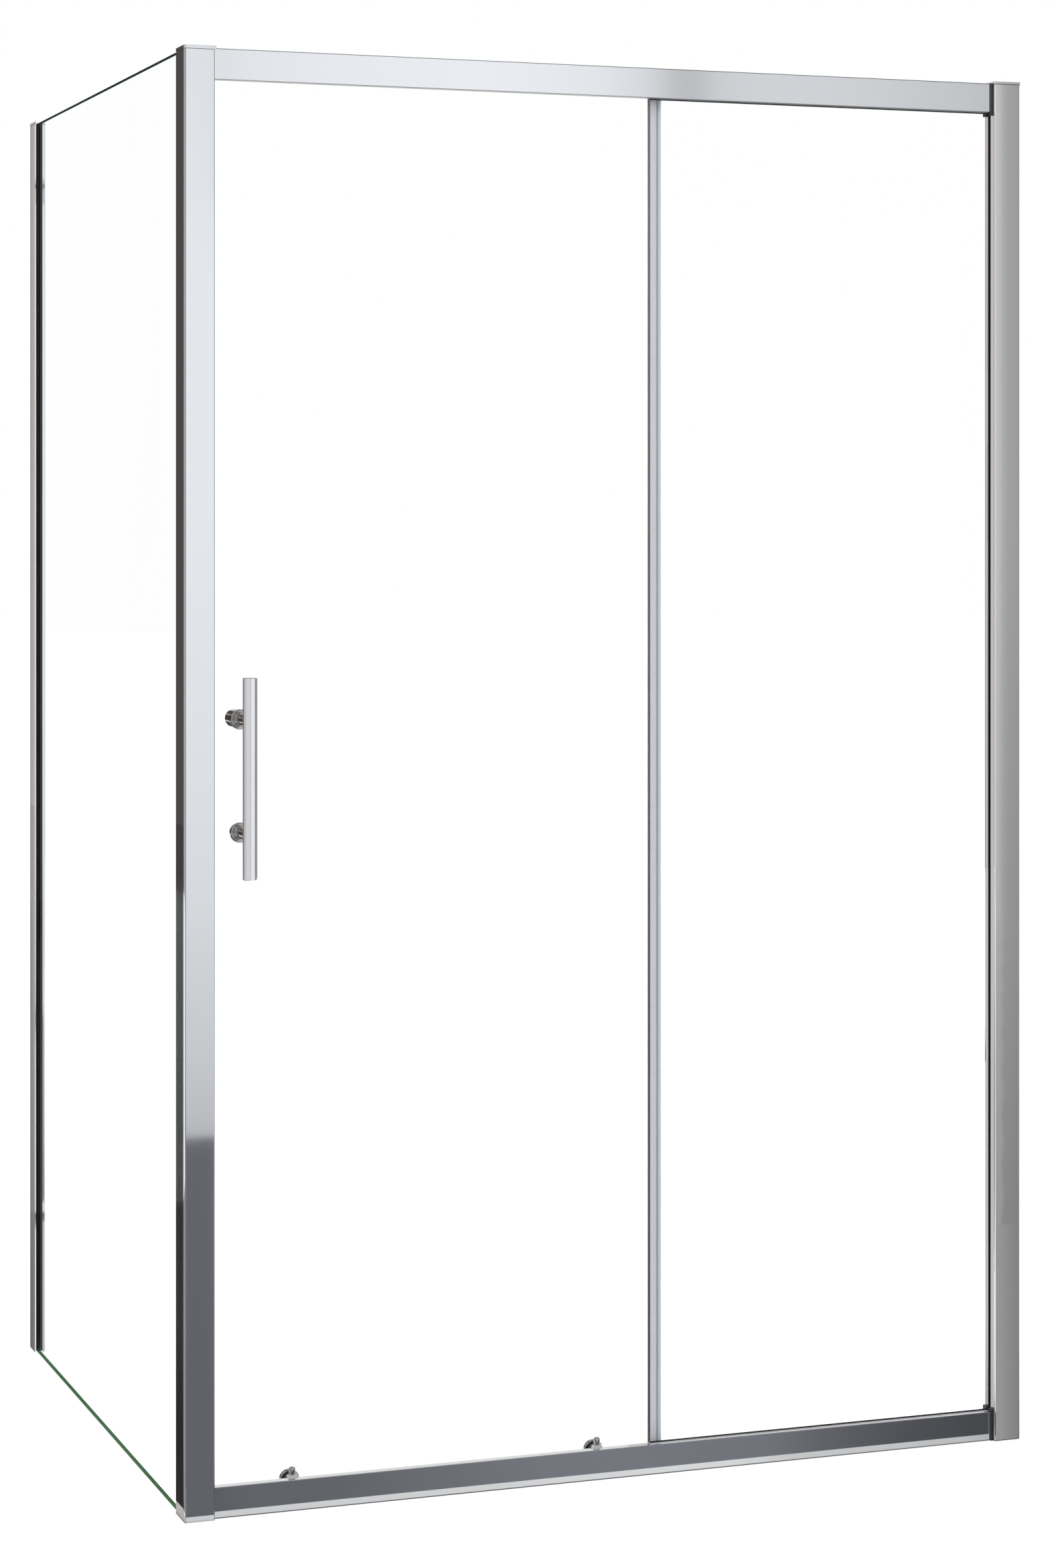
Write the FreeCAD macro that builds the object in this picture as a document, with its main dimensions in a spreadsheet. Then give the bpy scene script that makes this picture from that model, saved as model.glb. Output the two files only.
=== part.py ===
import FreeCAD, Part
import os
from types import SimpleNamespace

import Sketcher

# A corner shower enclosure: a front with one sliding door and one fixed pane, and a glass side
# panel. Lengths are millimetres. Every piece is drawn in the enclosure's own coordinates, with
# zero at the outer front corner of the corner post on the floor: X along the front, Y into the
# shower, Z up. The placements then move all of them together, so that the model's own origin is
# on the floor at the middle of the enclosure's box.

DIMENSIONS = {
    # the whole enclosure
    "width": 1200,
    "depth": 990,
    "height": 1900,
    "skin": 1.8,
    "cut_over": 1,
    # corner post
    "post_width": 40,
    "post_depth": 47,
    "post_step": 20.5,
    "post_rear_width": 30,
    "post_height": 1894.8,
    "post_round": 1.2,
    "post_facet": 0.8,
    "post_facet_depth": 6.5,
    "cap_overhang": 2,
    "cap_overhang_depth": 6.3,
    "cap_neck": 0.6,
    "cap_neck_inset": 0.8,
    # glass panes
    "glass": 6,
    "side_glass_front": 15,
    "side_glass_back": 965,
    "side_glass_left": 2,
    "side_glass_bottom": 2,
    "side_glass_top": 1896.3,
    "channel_left": 1.7,
    "channel_right": 9.5,
    "channel_floor": 14,
    # rails
    "rail_face": 6.6,
    "rail_height": 40.2,
    "rail_top": 1897.4,
    "rail_flange": 18.5,
    "rail_lip": 5.2,
    "rail_lip_wall": 1.5,
    "rail_back": 42,
    "rail_upstand": 9,
    "rail_round": 1,
    "rail_end": 1156.4,
    # wall jamb on the right
    "jamb_left": 1160,
    "jamb_right": 1198,
    "jamb_depth": 29,
    "jamb_wall": 1.6,
    "jamb_slot_front": 12,
    "jamb_slot_back": 19.3,
    "jamb_slot_floor": 1174,
    "jamb_height": 1896,
    "jamb_round": 2,
    "plate_front": 4,
    "plate_back": 28.6,
    "plate_rise": 4.6,
    "plate_gap": 0.3,
    # U channel screwed to a wall
    "channel_reach": 22,
    "channel_web": 1.8,
    "channel_inset": 2,
    "side_channel_reach": 20,
    "fixing_radius": 3.25,
    "fixing_outer": 800,
    "fixing_inner": 300,
    "fixing_middle": 950,
    # fixed pane
    "fixed_left": 647,
    "fixed_right": 1172,
    "fixed_front": 12.5,
    "strip": 0.8,
    "strip_inset": 0.2,
    # profile at the back of the side panel
    "side_front": 951,
    "side_end": 988,
    "side_width": 16,
    "side_slot_right": 11.5,
    "side_slot_floor": 966,
    "side_gasket_front": 950.4,
    # door pane
    "door_left": 41,
    "door_right": 663.5,
    "door_front": 28,
    "door_bottom": 10,
    "door_top": 1886,
    "hanger_left": 149.5,
    "hanger_right": 574.5,
    "hanger_level": 1873,
    "guide_level": 33,
    "hanger_hole": 8.3,
    "handle_hole": 5,
    "door_travel": 480,
    # seals
    "seal_bottom": 16,
    "seal_top": 1884,
    "seal_arm": 1.2,
    "magnet_left": 34.2,
    "magnet_arm": 5.3,
    "magnet_strip_front": 24.5,
    "magnet_strip_back": 37.5,
    "magnet_strip": 3.8,
    "overlap_arm": 10.6,
    "overlap_web": 2,
    "overlap_reach": 8.9,
    "overlap_fin": 0.9,
    "drip_drop": 4,
    "drip_arm_top": 15,
    "drip_lip_half": 0.8,
    "drip_lip_tip": 0.4,
    "drip_gap": 0.6,
    # handle
    "handle_x": 80,
    "handle_y": -25,
    "handle_middle": 956,
    "handle_length": 260,
    "handle_radius": 9.5,
    "handle_spacing": 147,
    "handle_chamfer": 0.6,
    "stem_radius": 7.5,
    "collar_radius": 10.2,
    "collar_length": 5.6,
    "collar_round": 1.6,
    "flange_radius": 13.2,
    "flange_length": 4.6,
    "flange_round": 1.8,
    "washer": 0.8,
    "washer_radius": 11,
    "washer_bore": 5,
    "knob_radius": 11.8,
    "knob_length": 30,
    "knob_round": 8,
    "knob_embed": 9,
    "handle_cap_radius": 11,
    "handle_cap_length": 4,
    "handle_cap_round": 1.4,
    "handle_cap_embed": 2.6,
    "stud_radius": 3,
    "stud_embed": 14,
    "fit": 0.05,
    "saddle_gap": 0.05,
    # top hangers
    "bracket_half": 29,
    "bracket_front": 19.4,
    "bracket_plate": 4.4,
    "bracket_bottom": 1862.8,
    "bracket_top": 1884,
    "bracket_round": 5,
    "boss_radius": 10,
    "wheel_radius": 9.5,
    "wheel_front": 10,
    "wheel_width": 5.5,
    "wheel_recess": 1.2,
    "wheel_rim": 2.6,
    "wheel_hub": 4,
    "wheel_gap": 0.3,
    "wheel_offset": 19,
    "axle_radius": 2.5,
    "axle_nose": 0.5,
    "shoulder_radius": 4,
    "shoulder_gap": 0.3,
    "bolt_radius": 4,
    "bolt_collar": 8,
    "bolt_head_radius": 6.5,
    "bolt_head": 2,
    "disc_radius": 13.5,
    "disc_length": 5.5,
    "disc_round": 1.2,
    "disc_embed": 3.6,
    "stop_length": 14,
    "stop_height": 15,
    "stop_gap": 0.3,
    # bottom guides
    "guide_half": 13,
    "guide_front": 19.2,
    "guide_bottom": 16,
    "guide_ledge": 2.4,
    "guide_cheek": 3.4,
    "guide_top": 37.5,
    "guide_plate": 2.3,
    "guide_boss": 8,
    "guide_boss_length": 5.8,
    "guide_stud": 2.5,
    "guide_stud_front": 27,
    "gasket_inner": 8.15,
    "gasket_outer": 10.8,
    "gasket": 1,
    "slider_gap": 0.3,
    "slider_front": 19.4,
    "slider_back": 25.4,
    "slider_bottom": 26.6,
    "slider_shoulder": 36,
    "slider_top": 42.6,
    "slider_neck": 6.5,
    "guide_wheel_radius": 8,
    "guide_wheel_gap": 0.3,
    "guide_shoulder": 3.6,
    "guide_axle": 2.4,
    "button_radius": 4.3,
    "button_y": 23.2,
    "button_gap": 0.4,
    "button_neck": 2.5,
    "button_height": 10,
    "button_dome": 2.4,
    "spring_y": 22.4,
    "spring_radius": 1.7,
    "spring_wire": 0.3,
    "spring_bore": 2.2,
    "spring_pocket": 5,
    "spring_turns": 6,
    "spring_gap": 0.1,
    # brackets and screws that hold the rails
    "post_bracket_length": 26,
    "post_bracket_back": 16.4,
    "wall_bracket_length": 9,
    "wall_bracket_back": 28.4,
    "rail_bracket_height": 10.3,
    "screw_radius": 1.9,
    "screw_hole": 2,
    "screw_head_radius": 3.1,
    "screw_head": 2.2,
    "post_screw_length": 16,
    "wall_screw_length": 13,
    "post_screw_y": 12.7,
    "wall_screw_y": 24.15,
    "profile_screw_radius": 1.8,
    "profile_screw_hole": 1.9,
    "profile_screw_length": 7,
    "profile_screw_low": 200,
    "profile_screw_high": 1700,
    "jamb_screw_x": 1188,
    "side_screw_y": 979,
    "profile_cap_round": 1.2,
}

document = FreeCAD.newDocument("shower_enclosure")
sheet = document.addObject("Spreadsheet::Sheet", "dimensions")
for row, (alias, amount) in enumerate(DIMENSIONS.items(), start=1):
    sheet.set(f"A{row}", alias)
    sheet.set(f"B{row}", str(amount))
    sheet.setAlias(f"B{row}", alias)
document.recompute()


class Size:
    """A length: its value in millimetres, and the sheet expression that gives it."""

    def __init__(self, value, text):
        self.value = float(value)
        self.text = text

    def joined(self, other, sign, value):
        return Size(value, f"({self.text} {sign} {other.text})")

    def __add__(self, other):
        other = as_size(other)
        return self.joined(other, "+", self.value + other.value)

    def __radd__(self, other):
        return as_size(other) + self

    def __sub__(self, other):
        other = as_size(other)
        return self.joined(other, "-", self.value - other.value)

    def __rsub__(self, other):
        return as_size(other) - self

    def __mul__(self, other):
        other = as_size(other)
        return self.joined(other, "*", self.value * other.value)

    def __rmul__(self, other):
        return as_size(other) * self

    def __truediv__(self, other):
        other = as_size(other)
        return self.joined(other, "/", self.value / other.value)

    def __neg__(self):
        return Size(-self.value, f"(0 - {self.text})")


def as_size(number):
    """Return a Size as it is, and a plain number as a Size."""
    if isinstance(number, Size):
        return number
    return Size(number, f"({float(number)})")


d = SimpleNamespace(
    **{alias: Size(sheet.get(alias), f"dimensions.{alias}") for alias in DIMENSIONS}
)

# lengths that follow from the driving ones
centre_x = d.width / 2
centre_y = (d.depth + d.handle_y - d.handle_radius) / 2
fixed_back = d.fixed_front + d.glass
door_back = d.door_front + d.glass
rail_bottom = d.rail_top - d.rail_height
rail_inside = d.rail_face + d.skin
track = rail_bottom + d.skin
wheel_level = track + d.wheel_gap + d.wheel_radius
guide_wheel_level = d.rail_height - d.skin - d.guide_wheel_gap - d.guide_wheel_radius
outer_washer = d.door_front - d.washer
knob_start = door_back + d.washer
flange_start = outer_washer - d.flange_length
side_glass_right = d.side_glass_left + d.glass

nodes = {}

PLANES = {"XY_Plane": (0, 1), "XZ_Plane": (0, 2), "YZ_Plane": (1, 2)}
SAME = 0.001

# how a sketch names its origin, its two axes and the points of a line or a circle
ORIGIN, LEVEL_AXIS, UPRIGHT_AXIS = -1, -1, -2
START, END, CENTRE = 1, 2, 3


def bind(thing, path, size):
    """Tie one property of an object to the sheet."""
    thing.setExpression(path, as_size(size).text)


def place(thing, x=0, y=0, z=0):
    """Put an object at a point given in the enclosure's own coordinates."""
    bind(thing, "Placement.Base.x", as_size(x) - centre_x)
    bind(thing, "Placement.Base.y", as_size(y) - centre_y)
    bind(thing, "Placement.Base.z", z)


class Round:
    """A circle in a sketch."""

    def __init__(self, across, up, radius):
        self.across = as_size(across)
        self.up = as_size(up)
        self.radius = as_size(radius)


def box(low_across, low_up, high_across, high_up):
    """Return the four corners of a rectangle."""
    return [
        (low_across, low_up),
        (high_across, low_up),
        (high_across, high_up),
        (low_across, high_up),
    ]


def hold_point(sketch, geometry, point, across, up):
    """Hold one point of a sketch at its distances from the sketch's origin."""
    ways = (("DistanceX", across, UPRIGHT_AXIS), ("DistanceY", up, LEVEL_AXIS))
    for kind, size, axis in ways:
        if size.value == 0:
            sketch.addConstraint(Sketcher.Constraint("PointOnObject", geometry, point, axis))
            continue
        index = sketch.addConstraint(
            Sketcher.Constraint(kind, ORIGIN, START, geometry, point, size.value)
        )
        sketch.setExpression(f"Constraints[{index}]", size.text)


def draw_circle(sketch, circle):
    """Draw a circle whose centre and radius are held by the sheet."""
    centre = FreeCAD.Vector(circle.across.value, circle.up.value, 0)
    geometry = sketch.addGeometry(
        Part.Circle(centre, FreeCAD.Vector(0, 0, 1), circle.radius.value), False
    )
    hold_point(sketch, geometry, CENTRE, circle.across, circle.up)
    index = sketch.addConstraint(
        Sketcher.Constraint("Radius", geometry, circle.radius.value)
    )
    sketch.setExpression(f"Constraints[{index}]", circle.radius.text)


def draw_outline(sketch, corners):
    """Draw a closed outline of straight sides, with every corner held by the sheet."""
    corners = [(as_size(across), as_size(up)) for across, up in corners]
    points = [FreeCAD.Vector(across.value, up.value, 0) for across, up in corners]
    first = sketch.GeometryCount
    count = len(points)
    for index in range(count):
        side = Part.LineSegment(points[index], points[(index + 1) % count])
        sketch.addGeometry(side, False)
    for index in range(count):
        following = first + (index + 1) % count
        sketch.addConstraint(
            Sketcher.Constraint("Coincident", first + index, END, following, START)
        )
    for index, (across, up) in enumerate(corners):
        hold_point(sketch, first + index, START, across, up)


class Piece:
    """One sub-part: a body built from sketches on its own origin planes."""

    def __init__(self, label, x=0, y=0, z=0):
        self.body = document.addObject("PartDesign::Body", label)
        self.body.Label = label
        self.label = label
        self.role = "XY_Plane"
        place(self.body, x, y, z)

    def sketch(self, role, outlines, level):
        """Return a sketch of the outlines on an origin plane, moved to a level."""
        plane = next(
            item for item in self.body.Origin.OriginFeatures if item.Role == role
        )
        sketch = self.body.newObject("Sketcher::SketchObject", f"{self.label}_sketch")
        sketch.AttachmentSupport = [(plane, "")]
        sketch.MapMode = "FlatFace"
        if role == "XZ_Plane":
            level = -as_size(level)
        bind(sketch, "AttachmentOffset.Base.z", level)
        for outline in outlines:
            if isinstance(outline, Round):
                draw_circle(sketch, outline)
            else:
                draw_outline(sketch, outline)
        document.recompute()
        return sketch

    def pad(self, role, outlines, start, length):
        """Add material between two outlines, from a level and along the plane's positive axis."""
        feature = self.body.newObject("PartDesign::Pad", f"{self.label}_pad")
        feature.Profile = self.sketch(role, outlines, start)
        bind(feature, "Length", length)
        feature.Reversed = role == "XZ_Plane"
        self.role = role
        self.finish(feature)
        return self

    def pocket(self, role, outlines, start, length):
        """Take material away, from a level and along the plane's positive axis."""
        before = self.body.Shape.Volume
        feature = self.body.newObject("PartDesign::Pocket", f"{self.label}_pocket")
        feature.Profile = self.sketch(role, outlines, start)
        bind(feature, "Length", length)
        feature.Reversed = role != "XZ_Plane"
        self.finish(feature)
        if self.body.Shape.Volume > before - SAME:
            raise ValueError(f"a pocket of {self.label} cuts nothing")
        return self

    def pierce(self, role, outlines, start, thickness):
        """Cut clean through a wall that starts at a level."""
        return self.pocket(role, outlines, start - d.cut_over, thickness + 2 * d.cut_over)

    def round_corners(self, corners, radius):
        """Round the long edges that run through the given corners of the last outline."""
        axes = PLANES[self.role]
        wanted = [(as_size(a).value, as_size(b).value) for a, b in corners]

        def is_wanted(edge):
            ends = [[vertex.Point[axis] for axis in axes] for vertex in edge.Vertexes]
            return any(
                all(abs(end[0] - a) + abs(end[1] - b) < SAME for end in ends)
                for a, b in wanted
            )

        return self.round_edges(is_wanted, radius)

    def round_edges(self, is_wanted, radius, kind="Fillet", size_name="Radius"):
        """Round or chamfer the edges that pass a test."""
        tip = self.body.Tip
        names = [
            f"Edge{number}"
            for number, edge in enumerate(tip.Shape.Edges, start=1)
            if is_wanted(edge)
        ]
        feature = self.body.newObject(f"PartDesign::{kind}", f"{self.label}_{kind.lower()}")
        feature.Base = (tip, names)
        bind(feature, size_name, radius)
        self.finish(feature)
        return self

    def finish(self, feature):
        """Make a feature the body's last one and rebuild."""
        self.body.Tip = feature
        document.recompute()

    def keep(self):
        """Hand the piece in as a node of its own."""
        nodes[self.label] = self.body
        return self


def group(label, pieces):
    """Hand several identical pieces in as one node of separate solids."""
    compound = document.addObject("Part::Compound", label)
    compound.Label = label
    compound.Links = [piece.body for piece in pieces]
    document.recompute()
    nodes[label] = compound


def rings_at(radius, levels, axis="y"):
    """Return a test for circular edges of a radius at the given levels along an axis."""

    def is_wanted(edge):
        if edge.Curve.TypeId != "Part::GeomCircle":
            return False
        height = getattr(edge.Curve.Center, axis)
        return abs(edge.Curve.Radius - radius.value) < SAME and any(
            abs(height - as_size(level).value) < SAME for level in levels
        )

    return is_wanted


# ---------------------------------------------------------------- corner post


def post_outline(front_right, inset=0):
    """Return the post's outer outline, given its corners at the front right.

    inset draws its front and its two sides in by that much.
    """
    return [
        (d.post_facet + inset, inset),
        *front_right,
        (d.post_width - inset, d.post_step),
        (d.post_rear_width, d.post_step),
        (d.post_rear_width, d.post_depth),
        (d.channel_right, d.post_depth),
        (d.channel_right, d.channel_floor),
        (d.channel_left, d.channel_floor),
        (d.channel_left, d.post_depth),
        (inset, d.post_depth),
        (inset, d.post_facet_depth),
    ]


def corner_post():
    """The hollow post, with the channel that takes the side glass."""
    chamber = [
        (d.skin, d.skin),
        (d.post_width - d.skin, d.skin),
        (d.post_width - d.skin, d.post_step - d.skin),
        (d.post_rear_width - d.skin, d.post_step - d.skin),
        (d.post_rear_width - d.skin, d.post_depth - d.skin),
        (d.channel_right + d.skin, d.post_depth - d.skin),
        (d.channel_right + d.skin, d.channel_floor - d.skin),
        (d.skin, d.channel_floor - d.skin),
    ]
    post = Piece("corner_post")
    front_right = (d.post_width, 0)
    post.pad("XY_Plane", [post_outline([front_right]), chamber], 0, d.post_height)
    post.round_corners([(d.post_facet, 0), front_right], d.post_round)
    screws = [Round(d.post_screw_y, level, d.screw_hole) for level in rail_screw_levels()]
    post.pierce("YZ_Plane", screws, d.post_width - d.skin, d.skin)
    post.keep()

    cap = Piece("corner_post_cap")
    cap_right = d.post_width + d.cap_overhang
    cap_corners = [
        (cap_right, 0),
        (cap_right, d.cap_overhang_depth),
        (d.post_width, d.cap_overhang_depth),
    ]
    inset = d.cap_neck_inset
    neck = post_outline([(d.post_width - inset, inset)], inset)
    cap.pad("XY_Plane", [neck], d.post_height, d.cap_neck)
    cap.round_corners(neck[:2], d.post_round - inset)
    cap_bottom = d.post_height + d.cap_neck
    cap.pad("XY_Plane", [post_outline(cap_corners)], cap_bottom, d.height - cap_bottom)
    cap.round_corners([(d.post_facet, 0), cap_corners[0]], d.post_round)
    cap.keep()

    gasket = Piece("post_gasket")
    gasket_outline = box(
        side_glass_right, d.side_glass_front, d.channel_right, d.post_depth
    )
    gasket.pad("XY_Plane", [gasket_outline], d.side_glass_bottom, d.post_height)
    gasket.keep()

    magnet = Piece("post_magnet_strip")
    magnet_outline = box(
        d.post_rear_width,
        d.magnet_strip_front,
        d.post_rear_width + d.magnet_strip,
        d.magnet_strip_back,
    )
    magnet.pad("XY_Plane", [magnet_outline], d.seal_bottom, d.seal_top - d.seal_bottom)
    magnet.round_corners(magnet_outline[1:3], d.seal_arm)
    magnet.keep()


# ---------------------------------------------------------------- rails


def rail_screw_levels():
    """Return the two levels of the screws that hold the rails' brackets."""
    low = d.skin + d.rail_bracket_height / 2
    return [low, d.rail_top - low]


def rail(label, level):
    """One rail, of the section that the other one shows upside down.

    level turns a height above the rail's closed side into a height above the floor.
    """
    lip_front = d.rail_flange - d.rail_lip_wall
    upstand_front = d.rail_back - d.rail_lip_wall
    section = [
        (d.rail_face, level(0)),
        (d.rail_back, level(0)),
        (d.rail_back, level(d.rail_upstand)),
        (upstand_front, level(d.rail_upstand)),
        (upstand_front, level(d.skin)),
        (rail_inside, level(d.skin)),
        (rail_inside, level(d.rail_height - d.skin)),
        (lip_front, level(d.rail_height - d.skin)),
        (lip_front, level(d.rail_height - d.rail_lip)),
        (d.rail_flange, level(d.rail_height - d.rail_lip)),
        (d.rail_flange, level(d.rail_height)),
        (d.rail_face, level(d.rail_height)),
    ]
    piece = Piece(label)
    piece.pad("YZ_Plane", [section], d.post_width, d.rail_end - d.post_width)
    piece.round_corners([(d.rail_face, level(d.rail_height))], d.rail_round)
    piece.keep()


def from_floor(height):
    """Measure a height up from the floor, for the bottom rail."""
    return as_size(height)


def from_top(height):
    """Measure a height down from the top rail's upper side."""
    return d.rail_top - height


def end_plate(label, level):
    """The black plate between a rail's end and the jamb, notched for the fixed pane."""
    top = d.rail_height + d.plate_rise
    notch = d.rail_height + d.plate_gap
    glass_front = d.fixed_front - d.plate_gap
    glass_back = fixed_back + d.plate_gap
    outline = [
        (d.plate_front, level(0)),
        (d.plate_back, level(0)),
        (d.plate_back, level(top)),
        (glass_back, level(top)),
        (glass_back, level(notch)),
        (glass_front, level(notch)),
        (glass_front, level(top)),
        (d.plate_front, level(top)),
    ]
    plate = Piece(label)
    plate.pad("YZ_Plane", [outline], d.rail_end, d.jamb_left - d.rail_end)
    low_screw = rail_screw_levels()[0]
    screw = Round(d.wall_screw_y, level(low_screw), d.screw_hole)
    plate.pierce("YZ_Plane", [screw], d.rail_end, d.jamb_left - d.rail_end)
    plate.keep()


def rail_brackets():
    """The blocks in the rails' ends, and the screws that pull them to the post and the jamb."""
    levels = dict(zip(("bottom", "top"), rail_screw_levels()))
    wall_start = d.rail_end - d.wall_bracket_length
    sides = {
        "post": (d.post_width, d.post_bracket_length, d.post_bracket_back, d.post_screw_y),
        "wall": (wall_start, d.wall_bracket_length, d.wall_bracket_back, d.wall_screw_y),
    }
    for side, (start, length, back, screw_y) in sides.items():
        blocks = []
        for name, middle in levels.items():
            low = middle - d.rail_bracket_height / 2
            high = middle + d.rail_bracket_height / 2
            block = Piece(f"{name}_{side}_bracket")
            hole = Round(screw_y, middle, d.screw_hole)
            block.pad("YZ_Plane", [box(rail_inside, low, back, high), hole], start, length)
            blocks.append(block)
        group(f"{side}_brackets", blocks)

    screws = []
    for name, middle in levels.items():
        for side in sides:
            screws.append(rail_screw(f"{name}_{side}_screw", side, middle))
    group("rail_screws", screws)


def rail_screw(label, side, z):
    """A pan head screw that runs along X through the post or the jamb into a rail's bracket."""
    if side == "post":
        head_start = d.post_width - d.skin - d.screw_head
        shank_start = head_start + d.screw_head
        length = d.post_screw_length
        y = d.post_screw_y
    else:
        head_start = d.jamb_left + d.jamb_wall
        shank_start = head_start - d.wall_screw_length
        length = d.wall_screw_length
        y = d.wall_screw_y
    screw = Piece(label, 0, y, z)
    screw.pad("YZ_Plane", [Round(0, 0, d.screw_head_radius)], head_start, d.screw_head)
    screw.pad("YZ_Plane", [Round(0, 0, d.screw_radius)], shank_start, length)
    return screw


# ---------------------------------------------------------------- wall jamb


def jamb():
    """The profile that holds the fixed pane, with its cap, gasket and wall channel."""
    wall = d.jamb_wall
    slot_front = d.jamb_slot_front - wall
    slot_back = d.jamb_slot_back + wall
    slot_floor = d.jamb_slot_floor + wall
    inside = d.jamb_left + wall
    section = [
        (d.jamb_left, 0),
        (d.jamb_right, 0),
        (d.jamb_right, wall),
        (inside, wall),
        (inside, slot_front),
        (slot_floor, slot_front),
        (slot_floor, slot_back),
        (inside, slot_back),
        (inside, d.jamb_depth - wall),
        (d.jamb_right, d.jamb_depth - wall),
        (d.jamb_right, d.jamb_depth),
        (d.jamb_left, d.jamb_depth),
        (d.jamb_left, d.jamb_slot_back),
        (d.jamb_slot_floor, d.jamb_slot_back),
        (d.jamb_slot_floor, d.jamb_slot_front),
        (d.jamb_left, d.jamb_slot_front),
    ]
    profile = Piece("jamb_profile")
    profile.pad("XY_Plane", [section], 0, d.jamb_height)
    profile.round_corners([(d.jamb_left, 0)], d.jamb_round)
    rail_screws = [Round(d.wall_screw_y, level, d.screw_hole) for level in rail_screw_levels()]
    profile.pierce("YZ_Plane", rail_screws, d.jamb_left, wall)
    holes = [Round(d.jamb_screw_x, z, d.profile_screw_hole) for z in profile_screw_levels()]
    profile.pierce("XZ_Plane", holes, d.jamb_depth - wall, wall)
    profile.keep()

    channel_front = d.channel_inset
    channel_back = d.jamb_depth - d.channel_inset
    channel_mouth = d.width - d.channel_reach
    web = d.width - d.channel_web
    channel = Piece("wall_channel")
    channel_section = [
        (channel_mouth, channel_front),
        (d.width, channel_front),
        (d.width, channel_back),
        (channel_mouth, channel_back),
        (channel_mouth, channel_back - d.channel_web),
        (web, channel_back - d.channel_web),
        (web, channel_front + d.channel_web),
        (channel_mouth, channel_front + d.channel_web),
    ]
    channel.pad("XY_Plane", [channel_section], 0, d.jamb_height)
    middle = d.jamb_depth / 2
    wall_holes = [Round(middle, z, d.fixing_radius) for z in fixing_levels()]
    channel.pierce("YZ_Plane", wall_holes, web, d.channel_web)
    channel.pierce("XZ_Plane", holes, channel_back - d.channel_web, d.channel_web)
    channel.keep()

    cap = Piece("jamb_cap")
    inset = d.cap_neck_inset
    cap_outline = box(d.jamb_left, 0, d.width, d.jamb_depth)
    neck = box(d.jamb_left + inset, inset, d.width, d.jamb_depth)
    cap.pad("XY_Plane", [neck], d.jamb_height, d.cap_neck)
    cap.round_corners(neck[:1], d.jamb_round - inset)
    cap_bottom = d.jamb_height + d.cap_neck
    cap.pad("XY_Plane", [cap_outline], cap_bottom, d.height - cap_bottom)
    cap.round_corners([cap_outline[0]], d.jamb_round)
    cap.keep()

    lip = d.fixed_front - d.jamb_slot_front
    mouth = d.jamb_left + lip
    gasket = Piece("jamb_gasket")
    gasket_section = [
        (mouth, d.jamb_slot_front),
        (d.jamb_slot_floor, d.jamb_slot_front),
        (d.jamb_slot_floor, d.jamb_slot_back),
        (mouth, d.jamb_slot_back),
        (mouth, fixed_back),
        (d.fixed_right, fixed_back),
        (d.fixed_right, d.fixed_front),
        (mouth, d.fixed_front),
    ]
    gasket_bottom = d.rail_height + d.strip
    gasket_top = rail_bottom - d.strip
    gasket.pad("XY_Plane", [gasket_section], gasket_bottom, gasket_top - gasket_bottom)
    gasket.keep()

    screws = []
    for number, z in enumerate(profile_screw_levels(), start=1):
        screw = Piece(f"jamb_screw_{number}", d.jamb_screw_x, d.jamb_depth, z)
        screw.pad("XZ_Plane", [Round(0, 0, d.screw_head_radius)], 0, d.screw_head)
        length = d.profile_screw_length
        screw.pad("XZ_Plane", [Round(0, 0, d.profile_screw_radius)], -length, length)
        screws.append(screw)
    group("jamb_screws", screws)


def profile_screw_levels():
    """Return the heights of the screws that join each profile to its wall channel."""
    return [d.profile_screw_low, d.fixing_middle, d.profile_screw_high]


def fixing_levels():
    """Return the heights of the four wall fixing holes in each wall channel."""
    offsets = (-d.fixing_outer, -d.fixing_inner, d.fixing_inner, d.fixing_outer)
    return [d.fixing_middle + offset for offset in offsets]


# ---------------------------------------------------------------- fixed pane


def fixed_pane():
    """The fixed glass of the front and the strips that it stands on and meets above."""
    low = d.rail_height + d.strip
    high = rail_bottom - d.strip
    pane = Piece("fixed_glass")
    outline = box(d.fixed_left, low, d.fixed_right, high)
    pane.pad("XZ_Plane", [outline], d.fixed_front, d.glass)
    pane.keep()

    strips = []
    for place_name, start in (("bottom", d.rail_height), ("top", high)):
        strip = Piece(f"{place_name}_glazing_strip")
        front = d.fixed_front + d.strip_inset
        back = fixed_back - d.strip_inset
        outline = box(front, start, back, start + d.strip)
        strip.pad("YZ_Plane", [outline], d.fixed_left, d.rail_end - d.fixed_left)
        strips.append(strip)
    group("glazing_strips", strips)


# ---------------------------------------------------------------- side panel


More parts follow.
